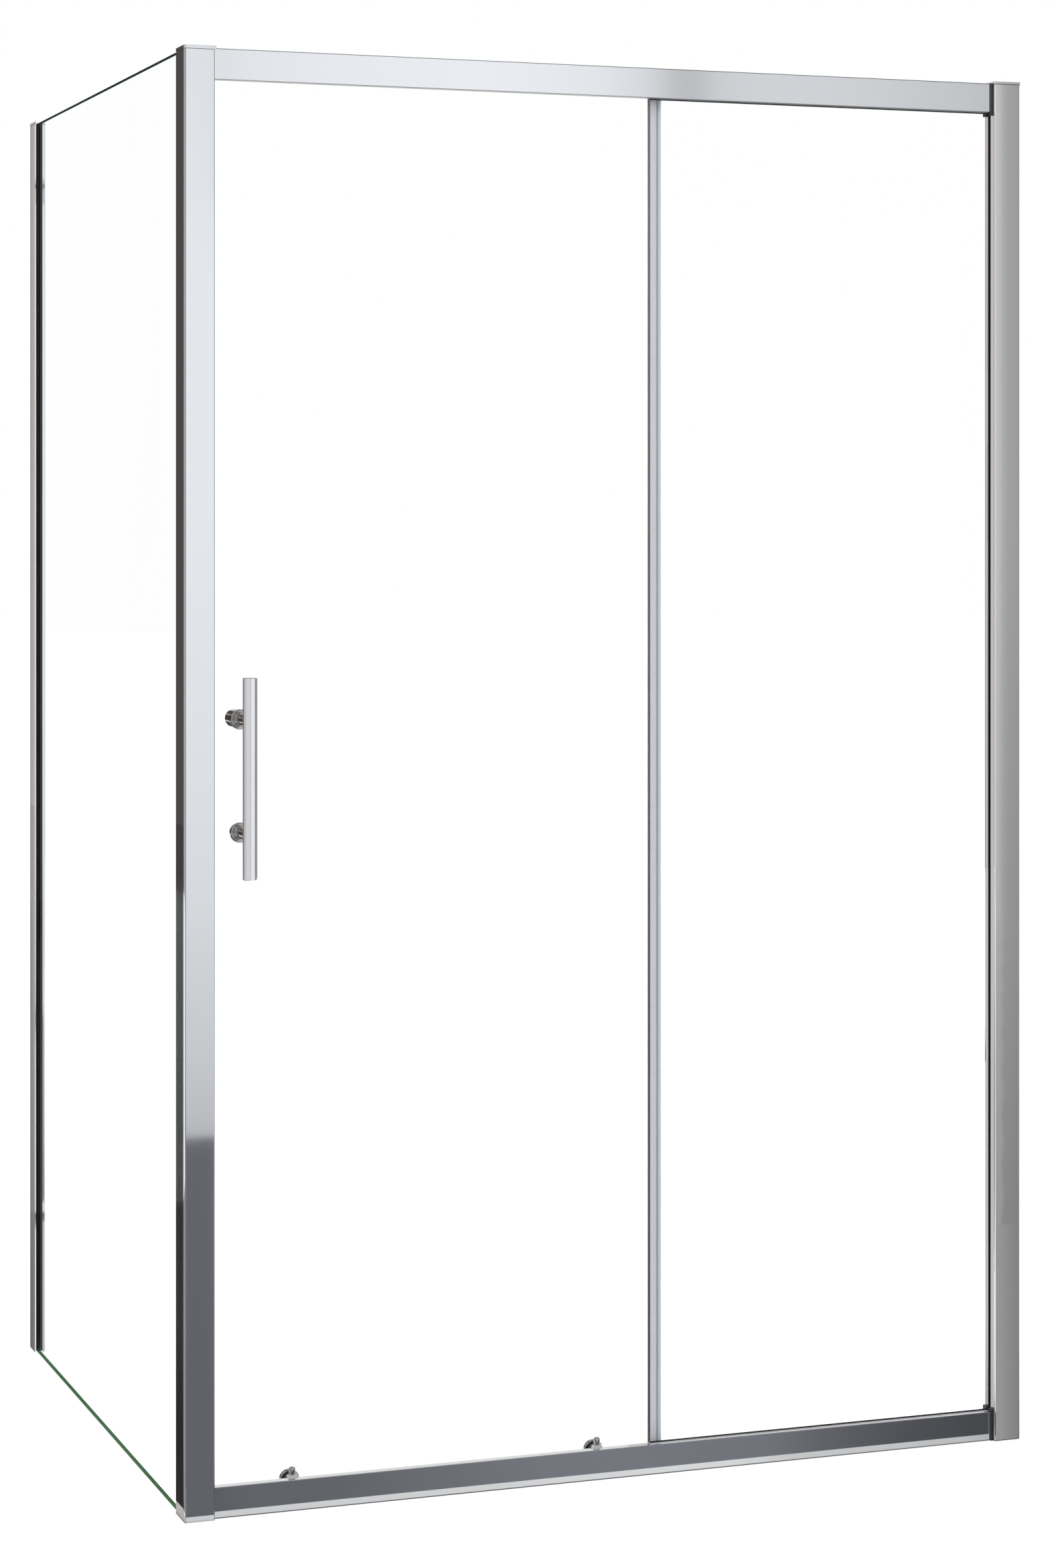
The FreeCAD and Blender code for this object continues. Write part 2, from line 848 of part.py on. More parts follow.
def side_panel():
    """The side glass, with the profile, gasket, cap and wall channel at its back edge."""
    pane = Piece("side_glass")
    outline = box(
        d.side_glass_left, d.side_glass_front, side_glass_right, d.side_glass_back
    )
    height = d.side_glass_top - d.side_glass_bottom
    pane.pad("XY_Plane", [outline], d.side_glass_bottom, height)
    pane.keep()

    wall = d.jamb_wall
    floor = d.side_slot_floor
    right = d.side_width
    section = [
        (0, d.side_front),
        (d.channel_left, d.side_front),
        (d.channel_left, floor),
        (d.side_slot_right, floor),
        (d.side_slot_right, d.side_front),
        (right, d.side_front),
        (right, d.side_end),
        (right - wall, d.side_end),
        (right - wall, floor + wall),
        (wall, floor + wall),
        (wall, d.side_end),
        (0, d.side_end),
    ]
    profile = Piece("side_profile")
    profile.pad("XY_Plane", [section], 0, d.jamb_height)
    profile.round_corners([(right, d.side_front)], d.profile_cap_round)
    holes = [Round(d.side_screw_y, z, d.profile_screw_hole) for z in profile_screw_levels()]
    profile.pierce("YZ_Plane", holes, right - wall, wall)
    profile.keep()

    left = d.channel_inset
    far = right - d.channel_inset
    mouth = d.depth - d.side_channel_reach
    web = d.depth - d.channel_web
    channel = Piece("side_wall_channel")
    channel_section = [
        (left, mouth),
        (left + wall, mouth),
        (left + wall, web),
        (far - wall, web),
        (far - wall, mouth),
        (far, mouth),
        (far, d.depth),
        (left, d.depth),
    ]
    channel.pad("XY_Plane", [channel_section], 0, d.jamb_height)
    wall_holes = [Round(right / 2, z, d.fixing_radius) for z in fixing_levels()]
    channel.pierce("XZ_Plane", wall_holes, web, d.channel_web)
    channel.pierce("YZ_Plane", holes, far - wall, wall)
    channel.keep()

    def cap_outline(inset):
        """Return the cap's outline, with its front and its two sides drawn in by an inset."""
        front = d.side_front + inset
        return [
            (inset, front),
            (d.channel_left, front),
            (d.channel_left, floor),
            (d.side_slot_right, floor),
            (d.side_slot_right, front),
            (right - inset, front),
            (right - inset, d.depth),
            (inset, d.depth),
        ]

    cap = Piece("side_profile_cap")
    cap_bottom = d.jamb_height + d.cap_neck
    cap.pad("XY_Plane", [cap_outline(d.cap_neck_inset)], d.jamb_height, d.cap_neck)
    cap.pad("XY_Plane", [cap_outline(0)], cap_bottom, d.height - cap_bottom)
    cap.keep()

    gasket = Piece("side_gasket")
    gasket_section = [
        (side_glass_right, d.side_gasket_front),
        (d.side_slot_right, d.side_gasket_front),
        (d.side_slot_right, floor),
        (d.channel_left, floor),
        (d.channel_left, d.side_glass_back),
        (side_glass_right, d.side_glass_back),
    ]
    gasket.pad("XY_Plane", [gasket_section], d.side_glass_bottom, d.post_height)
    gasket.keep()

    screws = []
    for number, z in enumerate(profile_screw_levels(), start=1):
        screw = Piece(f"side_screw_{number}", right, d.side_screw_y, z)
        screw.pad("YZ_Plane", [Round(0, 0, d.screw_head_radius)], 0, d.screw_head)
        length = d.profile_screw_length
        screw.pad("YZ_Plane", [Round(0, 0, d.profile_screw_radius)], -length, length)
        screws.append(screw)
    group("side_screws", screws)


# ---------------------------------------------------------------- door


def handle_levels():
    """Return the heights of the handle's lower and upper stem."""
    half = d.handle_spacing / 2
    return {"lower": d.handle_middle - half, "upper": d.handle_middle + half}


def door_pane():
    """The sliding pane, with the holes for its hangers, guides and handle."""
    outline = box(d.door_left, d.door_bottom, d.door_right, d.door_top)
    holes = [
        Round(x, z, d.hanger_hole)
        for x in (d.hanger_left, d.hanger_right)
        for z in (d.guide_level, d.hanger_level)
    ]
    holes += [Round(d.handle_x, z, d.handle_hole) for z in handle_levels().values()]
    pane = Piece("door_glass")
    pane.pad("XZ_Plane", [outline, *holes], d.door_front, d.glass)
    pane.keep()


def door_seals():
    """The clear seals on the leading, trailing and bottom edges of the door."""
    front = d.door_front - d.seal_arm
    back = door_back + d.seal_arm
    height = d.seal_top - d.seal_bottom

    arm_end = d.door_left + d.magnet_arm
    magnet = Piece("door_magnet_seal")
    magnet_section = [
        (d.magnet_left, front),
        (arm_end, front),
        (arm_end, d.door_front),
        (d.door_left, d.door_front),
        (d.door_left, door_back),
        (arm_end, door_back),
        (arm_end, back),
        (d.magnet_left, back),
    ]
    magnet.pad("XY_Plane", [magnet_section], d.seal_bottom, height)
    magnet.keep()

    arm_start = d.door_right - d.overlap_arm
    web_end = d.door_right + d.overlap_web
    fin_root = web_end - d.overlap_fin
    fin_tip = front + d.overlap_fin - d.overlap_reach
    overlap = Piece("door_overlap_seal")
    overlap_section = [
        (arm_start, front),
        (fin_root, front),
        (web_end, fin_tip),
        (web_end + d.overlap_fin, fin_tip),
        (web_end, front),
        (web_end, back),
        (arm_start, back),
        (arm_start, door_back),
        (d.door_right, door_back),
        (d.door_right, d.door_front),
        (arm_start, d.door_front),
    ]
    overlap.pad("XY_Plane", [overlap_section], d.seal_bottom, height)
    overlap.keep()

    base = d.door_bottom - d.drip_drop
    arm_top = d.drip_arm_top
    middle = (front + back) / 2
    tip = d.skin + d.drip_gap
    drip = Piece("door_bottom_seal")
    drip_section = [
        (front, base),
        (middle - d.drip_lip_half, base),
        (middle - d.drip_lip_tip, tip),
        (middle + d.drip_lip_tip, tip),
        (middle + d.drip_lip_half, base),
        (back, base),
        (back, arm_top),
        (door_back, arm_top),
        (door_back, d.door_bottom),
        (d.door_front, d.door_bottom),
        (d.door_front, arm_top),
        (front, arm_top),
    ]
    drip.pad("YZ_Plane", [drip_section], d.door_left, d.door_right - d.door_left)
    drip.keep()


def handle():
    """The bar handle: bar, two flanged stems, a knob and a cap inside, washers and studs."""
    bar = Piece("handle_bar", d.handle_x, d.handle_y, d.handle_middle)
    half = d.handle_length / 2
    bar.pad("XY_Plane", [Round(0, 0, d.handle_radius)], -half, d.handle_length)

    def is_end_ring(edge):
        return edge.Curve.TypeId == "Part::GeomCircle"

    bar.round_edges(is_end_ring, d.handle_chamfer, "Chamfer", "Size")
    bar.keep()

    washers = []
    studs = []
    stud_start = flange_start - d.stud_embed
    collar_start = flange_start - d.collar_length
    bore = Round(0, 0, d.stud_radius + d.fit)
    inner_ends = {
        "lower": (
            "cap", d.handle_cap_radius, d.handle_cap_length, d.handle_cap_round, d.handle_cap_embed
        ),
        "upper": ("knob", d.knob_radius, d.knob_length, d.knob_round, d.knob_embed),
    }
    for name, z in handle_levels().items():
        stem = Piece(f"{name}_handle_stem", d.handle_x, 0, z)
        stem_start = d.handle_y
        stem.pad("XZ_Plane", [Round(0, 0, d.stem_radius)], stem_start, flange_start - stem_start)
        stem.pad("XZ_Plane", [Round(0, 0, d.collar_radius)], collar_start, d.collar_length)
        stem.pad("XZ_Plane", [Round(0, 0, d.flange_radius)], flange_start, d.flange_length)
        stem.round_edges(rings_at(d.collar_radius, [collar_start]), d.collar_round)
        stem.round_edges(rings_at(d.flange_radius, [flange_start]), d.flange_round)
        saddle = Round(0, d.handle_y, d.handle_radius + d.saddle_gap)
        stem.pierce("XY_Plane", [saddle], -d.flange_radius, 2 * d.flange_radius)
        stem.pocket("XZ_Plane", [bore], stud_start - d.fit, outer_washer + d.cut_over - stud_start)
        stem.keep()

        kind, radius, length, crown_round, embed = inner_ends[name]
        stud_end = knob_start + embed
        inner = Piece(f"{name}_handle_{kind}", d.handle_x, 0, z)
        inner.pad("XZ_Plane", [Round(0, 0, radius)], knob_start, length)
        inner.round_edges(rings_at(radius, [knob_start + length]), crown_round)
        bore_start = knob_start - d.cut_over
        inner.pocket("XZ_Plane", [bore], bore_start, stud_end + d.fit - bore_start)
        inner.keep()

        stud = Piece(f"{name}_handle_stud", d.handle_x, 0, z)
        stud.pad("XZ_Plane", [Round(0, 0, d.stud_radius)], stud_start, stud_end - stud_start)
        studs.append(stud)
        for side, start in (("outer", outer_washer), ("inner", door_back)):
            washer = Piece(f"{name}_{side}_handle_washer", d.handle_x, 0, z)
            rings = [Round(0, 0, d.washer_radius), Round(0, 0, d.washer_bore)]
            washer.pad("XZ_Plane", rings, start, d.washer)
            washers.append(washer)
    group("handle_washers", washers)
    group("handle_studs", studs)


# ---------------------------------------------------------------- top hangers


def roller_wheel(label, x, z, radius, axle):
    """A plastic wheel on an axle along Y, with a recess in its front face."""
    wheel = Piece(label, x, 0, z)
    bore = Round(0, 0, axle + d.fit)
    wheel.pad("XZ_Plane", [Round(0, 0, radius), bore], d.wheel_front, d.wheel_width)
    recess = [Round(0, 0, radius - d.wheel_rim), Round(0, 0, d.wheel_hub)]
    wheel.pocket("XZ_Plane", recess, d.wheel_front, d.wheel_recess)
    wheel.keep()


def top_hangers():
    """The two double rollers that carry the door in the top rail."""
    axles = []
    bolts = []
    discs = []
    washers = []
    plate_back = d.bracket_front + d.bracket_plate
    wheel_back = d.wheel_front + d.wheel_width
    axle_start = d.wheel_front - d.axle_nose
    shoulder_start = wheel_back + d.shoulder_gap
    for side, x in (("left", d.hanger_left), ("right", d.hanger_right)):
        bracket = Piece(f"{side}_hanger_bracket", x)
        outline = box(-d.bracket_half, d.bracket_bottom, d.bracket_half, d.bracket_top)
        bracket.pad("XZ_Plane", [outline], d.bracket_front, d.bracket_plate)
        bracket.round_corners(outline[2:], d.bracket_round)
        boss = [Round(0, d.hanger_level, d.boss_radius)]
        bracket.pad("XZ_Plane", boss, plate_back, outer_washer - plate_back)
        bore = [Round(0, d.hanger_level, d.bolt_radius + d.fit)]
        bracket.pierce("XZ_Plane", bore, d.bracket_front, outer_washer - d.bracket_front)
        pins = [
            Round(way * d.wheel_offset, wheel_level, d.axle_radius + d.fit)
            for way in (-1, 1)
        ]
        bracket.pierce("XZ_Plane", pins, d.bracket_front, d.bracket_plate)
        bracket.keep()

        for name, way in (("outer", -1), ("inner", 1)):
            wheel_x = x + way * d.wheel_offset
            roller_wheel(
                f"{side}_hanger_{name}_wheel", wheel_x, wheel_level, d.wheel_radius, d.axle_radius
            )
            axle = Piece(f"{side}_{name}_axle", wheel_x, 0, wheel_level)
            axle_length = plate_back - axle_start
            axle.pad("XZ_Plane", [Round(0, 0, d.axle_radius)], axle_start, axle_length)
            shoulder = d.bracket_front - shoulder_start
            axle.pad("XZ_Plane", [Round(0, 0, d.shoulder_radius)], shoulder_start, shoulder)
            axles.append(axle)

        bolt = Piece(f"{side}_hanger_bolt", x, 0, d.hanger_level)
        head_start = d.bracket_front - d.bolt_head
        bolt_end = knob_start + d.disc_embed
        bolt.pad("XZ_Plane", [Round(0, 0, d.bolt_radius)], head_start, bolt_end - head_start)
        bolt.pad("XZ_Plane", [Round(0, 0, d.bolt_head_radius)], head_start, d.bolt_head)
        collar = d.glass - 2 * d.fit
        bolt.pad("XZ_Plane", [Round(0, 0, d.bolt_collar)], d.door_front + d.fit, collar)
        bolts.append(bolt)

        disc_bore = Round(0, 0, d.bolt_radius + d.fit)
        disc = back_disc(f"{side}_hanger_disc", x, d.hanger_level, knob_start, disc_bore)
        discs.append(disc)
        for face, start in (("outer", outer_washer), ("inner", door_back)):
            washer = Piece(f"{side}_{face}_hanger_washer", x, 0, d.hanger_level)
            rings = [Round(0, 0, d.gasket_outer), Round(0, 0, d.gasket_inner)]
            washer.pad("XZ_Plane", rings, start, d.washer)
            washers.append(washer)
    group("hanger_axles", axles)
    group("hanger_bolts", bolts)
    group("hanger_discs", discs)
    group("hanger_washers", washers)


def back_disc(label, x, z, start, bore):
    """The round disc that clamps a hanger or a guide from inside the shower."""
    disc = Piece(label, x, 0, z)
    disc.pad("XZ_Plane", [Round(0, 0, d.disc_radius)], start, d.disc_length)
    rims = rings_at(d.disc_radius, [start, start + d.disc_length])
    disc.round_edges(rims, d.disc_round)
    disc.pocket("XZ_Plane", [bore], start - d.cut_over, d.disc_embed + d.cut_over + d.fit)
    return disc


def door_stops():
    """The rubber stops in the top rail that the hangers' wheels meet at both ends."""
    reach = d.wheel_offset + d.wheel_radius + d.stop_gap
    closed_end = d.hanger_left - reach
    open_start = d.hanger_right + d.door_travel + reach
    stops = []
    for name, start in (("closed", closed_end - d.stop_length), ("open", open_start)):
        stop = Piece(f"{name}_door_stop")
        outline = box(rail_inside, track, d.post_bracket_back, track + d.stop_height)
        stop.pad("YZ_Plane", [outline], start, d.stop_length)
        stops.append(stop)
    group("door_stops", stops)


# ---------------------------------------------------------------- bottom guides


def spring(label, x, low, high):
    """A compression spring along Z, swept along a helix."""
    turns_height = (high - low - 2 * d.spring_wire - d.spring_gap).value
    helix = Part.makeHelix(
        turns_height / d.spring_turns.value, turns_height, d.spring_radius.value
    )
    start = FreeCAD.Vector(d.spring_radius.value, 0, 0)
    section = Part.Wire(
        Part.makeCircle(d.spring_wire.value, start, FreeCAD.Vector(0, 1, 0))
    )
    coil = Part.Wire(helix).makePipeShell([section], True, True)
    feature = document.addObject("Part::Feature", label)
    feature.Label = label
    feature.Shape = coil
    place(feature, x, d.spring_y, low + d.spring_wire)
    nodes[label] = feature


def bottom_guides():
    """The two sprung guides that keep the door in the bottom rail, and let it go for cleaning."""
    gaskets = []
    studs = []
    plate_front = d.door_front - d.guide_plate
    ledge_top = d.guide_bottom + d.guide_ledge
    cheek = d.guide_half - d.guide_cheek
    disc_start = door_back + d.gasket
    stud_bore = Round(0, d.guide_level, d.guide_stud + d.fit)
    bore_start = d.guide_stud_front - d.fit
    boss_end = d.door_front + d.guide_boss_length
    for side, x in (("left", d.hanger_left), ("right", d.hanger_right)):
        guide = Piece(f"{side}_guide_body", x)
        tray = [
            (-d.guide_half, d.guide_bottom),
            (d.guide_half, d.guide_bottom),
            (d.guide_half, d.guide_top),
            (cheek, d.guide_top),
            (cheek, ledge_top),
            (-cheek, ledge_top),
            (-cheek, d.guide_top),
            (-d.guide_half, d.guide_top),
        ]
        plate = box(-d.guide_half, d.guide_bottom, d.guide_half, d.guide_top)
        boss = [Round(0, d.guide_level, d.guide_boss)]
        guide.pad("XZ_Plane", [plate], plate_front, d.guide_plate)
        guide.pad("XZ_Plane", [tray], d.guide_front, plate_front - d.guide_front)
        guide.pad("XZ_Plane", boss, d.door_front, d.guide_boss_length)
        guide.pocket("XZ_Plane", [stud_bore], bore_start, boss_end + d.cut_over - bore_start)
        guide.keep()

        stud = Piece(f"{side}_guide_stud", x, 0, d.guide_level)
        stud_end = disc_start + d.disc_embed
        stud_length = stud_end - d.guide_stud_front
        stud.pad("XZ_Plane", [Round(0, 0, d.guide_stud)], d.guide_stud_front, stud_length)
        studs.append(stud)

        disc_bore = Round(0, 0, d.guide_stud + d.fit)
        back_disc(f"{side}_guide_disc", x, d.guide_level, disc_start, disc_bore).keep()

        gasket = Piece(f"{side}_guide_gasket", x, 0, d.guide_level)
        rings = [Round(0, 0, d.gasket_outer), Round(0, 0, d.gasket_inner)]
        gasket.pad("XZ_Plane", rings, door_back, d.gasket)
        gaskets.append(gasket)

        release_slider(side, x, cheek)
        roller_wheel(
            f"{side}_guide_wheel", x, guide_wheel_level, d.guide_wheel_radius, d.guide_axle
        )
        spring(f"{side}_release_spring", x, ledge_top, d.slider_bottom + d.spring_pocket)
    group("guide_gaskets", gaskets)
    group("guide_studs", studs)


def release_slider(side, x, cheek):
    """The slider that carries a guide wheel, and the button on top of it."""
    half = cheek - d.slider_gap
    slider = Piece(f"{side}_release_slider", x)
    outline = [
        (-half, d.slider_bottom),
        (half, d.slider_bottom),
        (half, d.slider_shoulder),
        (d.slider_neck, d.slider_shoulder),
        (d.slider_neck, d.slider_top),
        (-d.slider_neck, d.slider_top),
        (-d.slider_neck, d.slider_shoulder),
        (-half, d.slider_shoulder),
    ]
    slider.pad("XZ_Plane", [outline], d.slider_front, d.slider_back - d.slider_front)
    shoulder_start = d.wheel_front + d.wheel_width + d.shoulder_gap
    shoulder = [Round(0, guide_wheel_level, d.guide_shoulder)]
    slider.pad("XZ_Plane", shoulder, shoulder_start, d.slider_front - shoulder_start)
    axle_start = d.wheel_front - d.axle_nose
    axle = [Round(0, guide_wheel_level, d.guide_axle)]
    slider.pad("XZ_Plane", axle, axle_start, shoulder_start - axle_start)
    spring_bore = [Round(0, d.spring_y, d.spring_bore)]
    bore_depth = d.spring_pocket + d.cut_over
    slider.pocket("XY_Plane", spring_bore, d.slider_bottom - d.cut_over, bore_depth)
    slider.keep()

    button = Piece(f"{side}_release_button", x, d.button_y, d.slider_top)
    button.pad("XY_Plane", [Round(0, 0, d.button_neck)], 0, d.button_gap)
    button.pad("XY_Plane", [Round(0, 0, d.button_radius)], d.button_gap, d.button_height)
    crown = d.button_gap + d.button_height
    button.round_edges(rings_at(d.button_radius, [crown], "z"), d.button_dome)
    button.keep()


# ---------------------------------------------------------------- build and hand in


def check_and_write():
    """Stop on any failed object or bad shape, then write each node's solids to its own file."""
    document.recompute()
    failed = [
        item.Name
        for item in document.Objects
        if any(state in ("Invalid", "Error") for state in item.State)
    ]
    if failed:
        raise RuntimeError(f"failed objects: {failed}")
    for label, item in nodes.items():
        if item.Shape.isNull() or not item.Shape.isValid() or not item.Shape.Solids:
            raise RuntimeError(f"bad shape: {label}")
    os.makedirs("parts", exist_ok=True)
    for label, item in nodes.items():
        item.Shape.exportStep(os.path.join("parts", f"{label}.step"))


corner_post()
rail("bottom_rail", from_floor)
rail("top_rail", from_top)
end_plate("bottom_end_plate", from_floor)
end_plate("top_end_plate", from_top)
rail_brackets()
jamb()
fixed_pane()
side_panel()
door_pane()
door_seals()
handle()
top_hangers()
door_stops()
bottom_guides()
check_and_write()
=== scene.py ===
"""The looks of a corner shower enclosure with one sliding glass door.

The enclosure's own coordinates, used for every size here, are millimetres from the corner
post's front left edge on the floor: X along the front, Y into the shower, Z up.
"""
import logging
import math
from dataclasses import dataclass
from enum import Enum
from typing import Callable, ClassVar, Optional, Protocol, Sequence, Union

import bmesh
import bpy
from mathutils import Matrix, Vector


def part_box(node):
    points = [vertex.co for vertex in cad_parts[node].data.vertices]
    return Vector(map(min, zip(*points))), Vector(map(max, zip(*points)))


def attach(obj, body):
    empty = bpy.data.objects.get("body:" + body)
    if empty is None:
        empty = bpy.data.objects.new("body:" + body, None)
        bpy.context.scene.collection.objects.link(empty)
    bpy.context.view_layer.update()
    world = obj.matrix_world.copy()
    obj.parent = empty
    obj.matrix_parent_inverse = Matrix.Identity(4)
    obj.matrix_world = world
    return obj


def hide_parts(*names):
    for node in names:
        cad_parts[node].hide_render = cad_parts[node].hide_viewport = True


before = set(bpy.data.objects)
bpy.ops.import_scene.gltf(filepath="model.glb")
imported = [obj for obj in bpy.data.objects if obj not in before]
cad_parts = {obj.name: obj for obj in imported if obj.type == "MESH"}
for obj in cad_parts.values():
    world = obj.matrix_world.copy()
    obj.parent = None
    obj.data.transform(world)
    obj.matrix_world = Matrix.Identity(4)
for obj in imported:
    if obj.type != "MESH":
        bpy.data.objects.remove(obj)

LOG = logging.getLogger("shower_enclosure")
MM = 0.001
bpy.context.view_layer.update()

Colour = tuple[float, float, float]
Place = tuple[float, float, float]
Pair = tuple[float, float]
Tones = tuple[tuple[float, Colour], ...]


class Axis(Enum):
    """One of the three axes, with its number in a vector."""

    X = 0
    Y = 1
    Z = 2


@dataclass(frozen=True)
class Datum:
    """Where the enclosure's own zero lies in the model's frame."""

    x: float = -600.0
    y: float = -477.75

    def point(self, x: float, y: float, z: float) -> Vector:
        """Return a point of the enclosure's own coordinates in the model's metres."""
        return Vector(((self.x + x) * MM, (self.y + y) * MM, z * MM))


DATUM = Datum()


# ------------------------------------------------------------------ shader toolkit


class Wire:
    """One output of a shader node, with Python's arithmetic."""

    def __init__(self, shader: "Shader", socket: bpy.types.NodeSocket) -> None:
        """Keep the socket and the shader that it belongs to."""
        self.shader = shader
        self.socket = socket

    def _math(self, operation: str, first: "Operand", second: "Operand") -> "Wire":
        """Return a Math node's result for two operands."""
        return self.shader.wire("ShaderNodeMath", {"operation": operation}, {0: first, 1: second})

    def __add__(self, other: "Operand") -> "Wire":
        """Return the sum."""
        return self._math("ADD", self, other)

    def __radd__(self, other: "Operand") -> "Wire":
        """Return the sum, with the wire on the right."""
        return self._math("ADD", other, self)

    def __sub__(self, other: "Operand") -> "Wire":
        """Return the difference."""
        return self._math("SUBTRACT", self, other)

    def __rsub__(self, other: "Operand") -> "Wire":
        """Return the difference, with the wire on the right."""
        return self._math("SUBTRACT", other, self)

    def __mul__(self, other: "Operand") -> "Wire":
        """Return the product."""
        return self._math("MULTIPLY", self, other)

    def __rmul__(self, other: "Operand") -> "Wire":
        """Return the product, with the wire on the right."""
        return self._math("MULTIPLY", other, self)

    def at_most(self, limit: "Operand") -> "Wire":
        """Return the smaller of the value and a limit."""
        return self._math("MINIMUM", self, limit)

    def at_least(self, limit: "Operand") -> "Wire":
        """Return the larger of the value and a limit."""
        return self._math("MAXIMUM", self, limit)

    def above(self, limit: "Operand") -> "Wire":
        """Return 1 where the value is above a limit, and 0 elsewhere."""
        return self._math("GREATER_THAN", self, limit)


Operand = Union[Wire, float]
Tint = Union[Wire, Colour]
Settings = dict[str, object]
Inputs = dict[Union[str, int], object]
MIX_FACTOR = 0
MIX_FIRST = 6
MIX_SECOND = 7
MIX_RESULT = 2


def painted(tint: Tint) -> object:
    """Return a wire as it is, and a colour with the opacity that a socket asks for."""
    return tint if isinstance(tint, Wire) else (*tint, 1.0)


class Shader:
    """The node tree of one material or world."""

    def __init__(self, owner: Union[bpy.types.Material, bpy.types.World]) -> None:
        """Start from an empty tree.

        Args:
            owner: the material or world that the tree belongs to.
        """
        owner.use_nodes = True
        self.owner = owner
        self.tree = owner.node_tree
        self.tree.nodes.clear()

    def node(self, kind: str, settings: Optional[Settings] = None,
             inputs: Optional[Inputs] = None) -> bpy.types.Node:
        """Add a node.

        Args:
            kind: the node's type.
            settings: its properties, or a ramp's "stops", set first.
            inputs: values or wires for its sockets, by name or number.

        Returns:
            The node.
        """
        node = self.tree.nodes.new(kind)
        for name, value in (settings or {}).items():
            if name == "stops":
                self._set_stops(node.color_ramp, value)
            else:
                setattr(node, name, value)
        for name, value in (inputs or {}).items():
            if isinstance(value, Wire):
                self.tree.links.new(value.socket, node.inputs[name])
            else:
                node.inputs[name].default_value = value
        return node

    def wire(self, kind: str, settings: Optional[Settings] = None,
             inputs: Optional[Inputs] = None, output: Union[str, int] = 0) -> Wire:
        """Add a node and return one of its outputs.

        Args:
            kind: the node's type.
            settings: its properties, set first.
            inputs: values or wires for its sockets.
            output: the wanted output, by name or number.

        Returns:
            The output.
        """
        return Wire(self, self.node(kind, settings, inputs).outputs[output])

    @staticmethod
    def _set_stops(ramp: bpy.types.ColorRamp, stops: Tones) -> None:
        """Give a ramp its stops, each a position and a colour."""
        while len(ramp.elements) < len(stops):
            ramp.elements.new(1.0)
        while len(ramp.elements) > len(stops):
            ramp.elements.remove(ramp.elements[-1])
        for element, (position, colour) in zip(ramp.elements, stops):
            element.position = position
            element.color = (*colour, 1.0)

    def place(self) -> Wire:
        """Return the place on the object, in metres."""
        return self.wire("ShaderNodeTexCoord", output="Object")

    def coordinate(self, axis: Axis) -> Wire:
        """Return the place on the object along one axis, in metres."""
        split = self.node("ShaderNodeSeparateXYZ", inputs={0: self.place()})
        return Wire(self, split.outputs[axis.value])

    def mixed(self, factor: Operand, first: Tint, second: Tint, blend: str = "MIX") -> Wire:
        """Return the first colour where the factor is 0, and the second where it is 1.

        Args:
            factor: the share of the second colour.
            first: the first colour.
            second: the second colour.
            blend: how the second colour is laid on the first.

        Returns:
            The mixed colour.
        """
        settings = {"data_type": "RGBA", "blend_type": blend}
        inputs = {MIX_FACTOR: factor, MIX_FIRST: painted(first), MIX_SECOND: painted(second)}
        return self.wire("ShaderNodeMix", settings, inputs, MIX_RESULT)

    def stretched(self, scale: Sequence[float]) -> Wire:
        """Return the place on the object, scaled differently along each axis."""
        return self.wire(
            "ShaderNodeVectorMath", {"operation": "MULTIPLY"}, {0: self.place(), 1: scale}
        )

    def noise(self, place: Wire, scale: float, detail: float = 2.0) -> Wire:
        """Return smooth noise between about 0 and 1."""
        inputs = {"Vector": place, "Scale": scale, "Detail": detail}
        return self.wire("ShaderNodeTexNoise", inputs=inputs)

    def ramp(self, place: Wire, stops: Tones) -> Wire:
        """Return the colour that a ramp has at a place between 0 and 1."""
        return self.wire("ShaderNodeValToRGB", {"stops": stops}, {0: place})

    def bump(self, height: Wire, strength: float, distance: float) -> Wire:
        """Return a normal that follows a height, whose distance is in metres."""
        inputs = {"Height": height, "Strength": strength, "Distance": distance}
        return self.wire("ShaderNodeBump", inputs=inputs)

    def surface(self, kind: str, inputs: Inputs) -> None:
        """Finish the tree with one shader.

        Args:
            kind: the shader node's type.
            inputs: values or wires for its sockets.
        """
        self.finish(self.wire(kind, inputs=inputs))

    def finish(self, result: Wire) -> None:
        """Send a shader to the tree's output."""
        is_world = isinstance(self.owner, bpy.types.World)
        kind = "ShaderNodeOutputWorld" if is_world else "ShaderNodeOutputMaterial"
        self.node(kind, inputs={"Surface": result})


# ------------------------------------------------------------------ finishes


class Finish(Protocol):
    """What a piece is made of and how it is finished."""

    name: str

    def build(self, shader: Shader) -> None:
        """Fill a material's tree."""


def material_of(finish: Finish) -> bpy.types.Material:
    """Return a finish's material, making it at its first use.

    Args:
        finish: the finish.

    Returns:
        The material.
    """
    found = bpy.data.materials.get(finish.name)
    if found is None:
        found = bpy.data.materials.new(finish.name)
        finish.build(Shader(found))
    return found


@dataclass(frozen=True)
class Band:
    """A range of places along one axis, in the enclosure's own millimetres."""

    axis: Axis
    low: float
    high: float

    def ends(self) -> Pair:
        """Return its two ends along the axis, in the model's metres."""
        low, high = (DATUM.point(end, end, end)[self.axis.value] for end in (self.low, self.high))
        return low, high

    def inside(self, shader: Shader) -> Wire:
        """Return 1 between its ends, and 0 elsewhere."""
        low, high = self.ends()
        place = shader.coordinate(self.axis)
        return place.above(low) * (1.0 - place.above(high))

    def share(self, shader: Shader) -> Wire:
        """Return how far along it a place lies, from 0 to 1."""
        low, high = self.ends()
        share = (shader.coordinate(self.axis) - low) * (1.0 / (high - low))
        return share.at_least(0.0).at_most(1.0)


@dataclass(frozen=True)
class ShadedEdge(Band):
    """A thin line of painted shade along an edge of a profile, darker than the rest."""

    colour: Colour = (0.30, 0.30, 0.31)


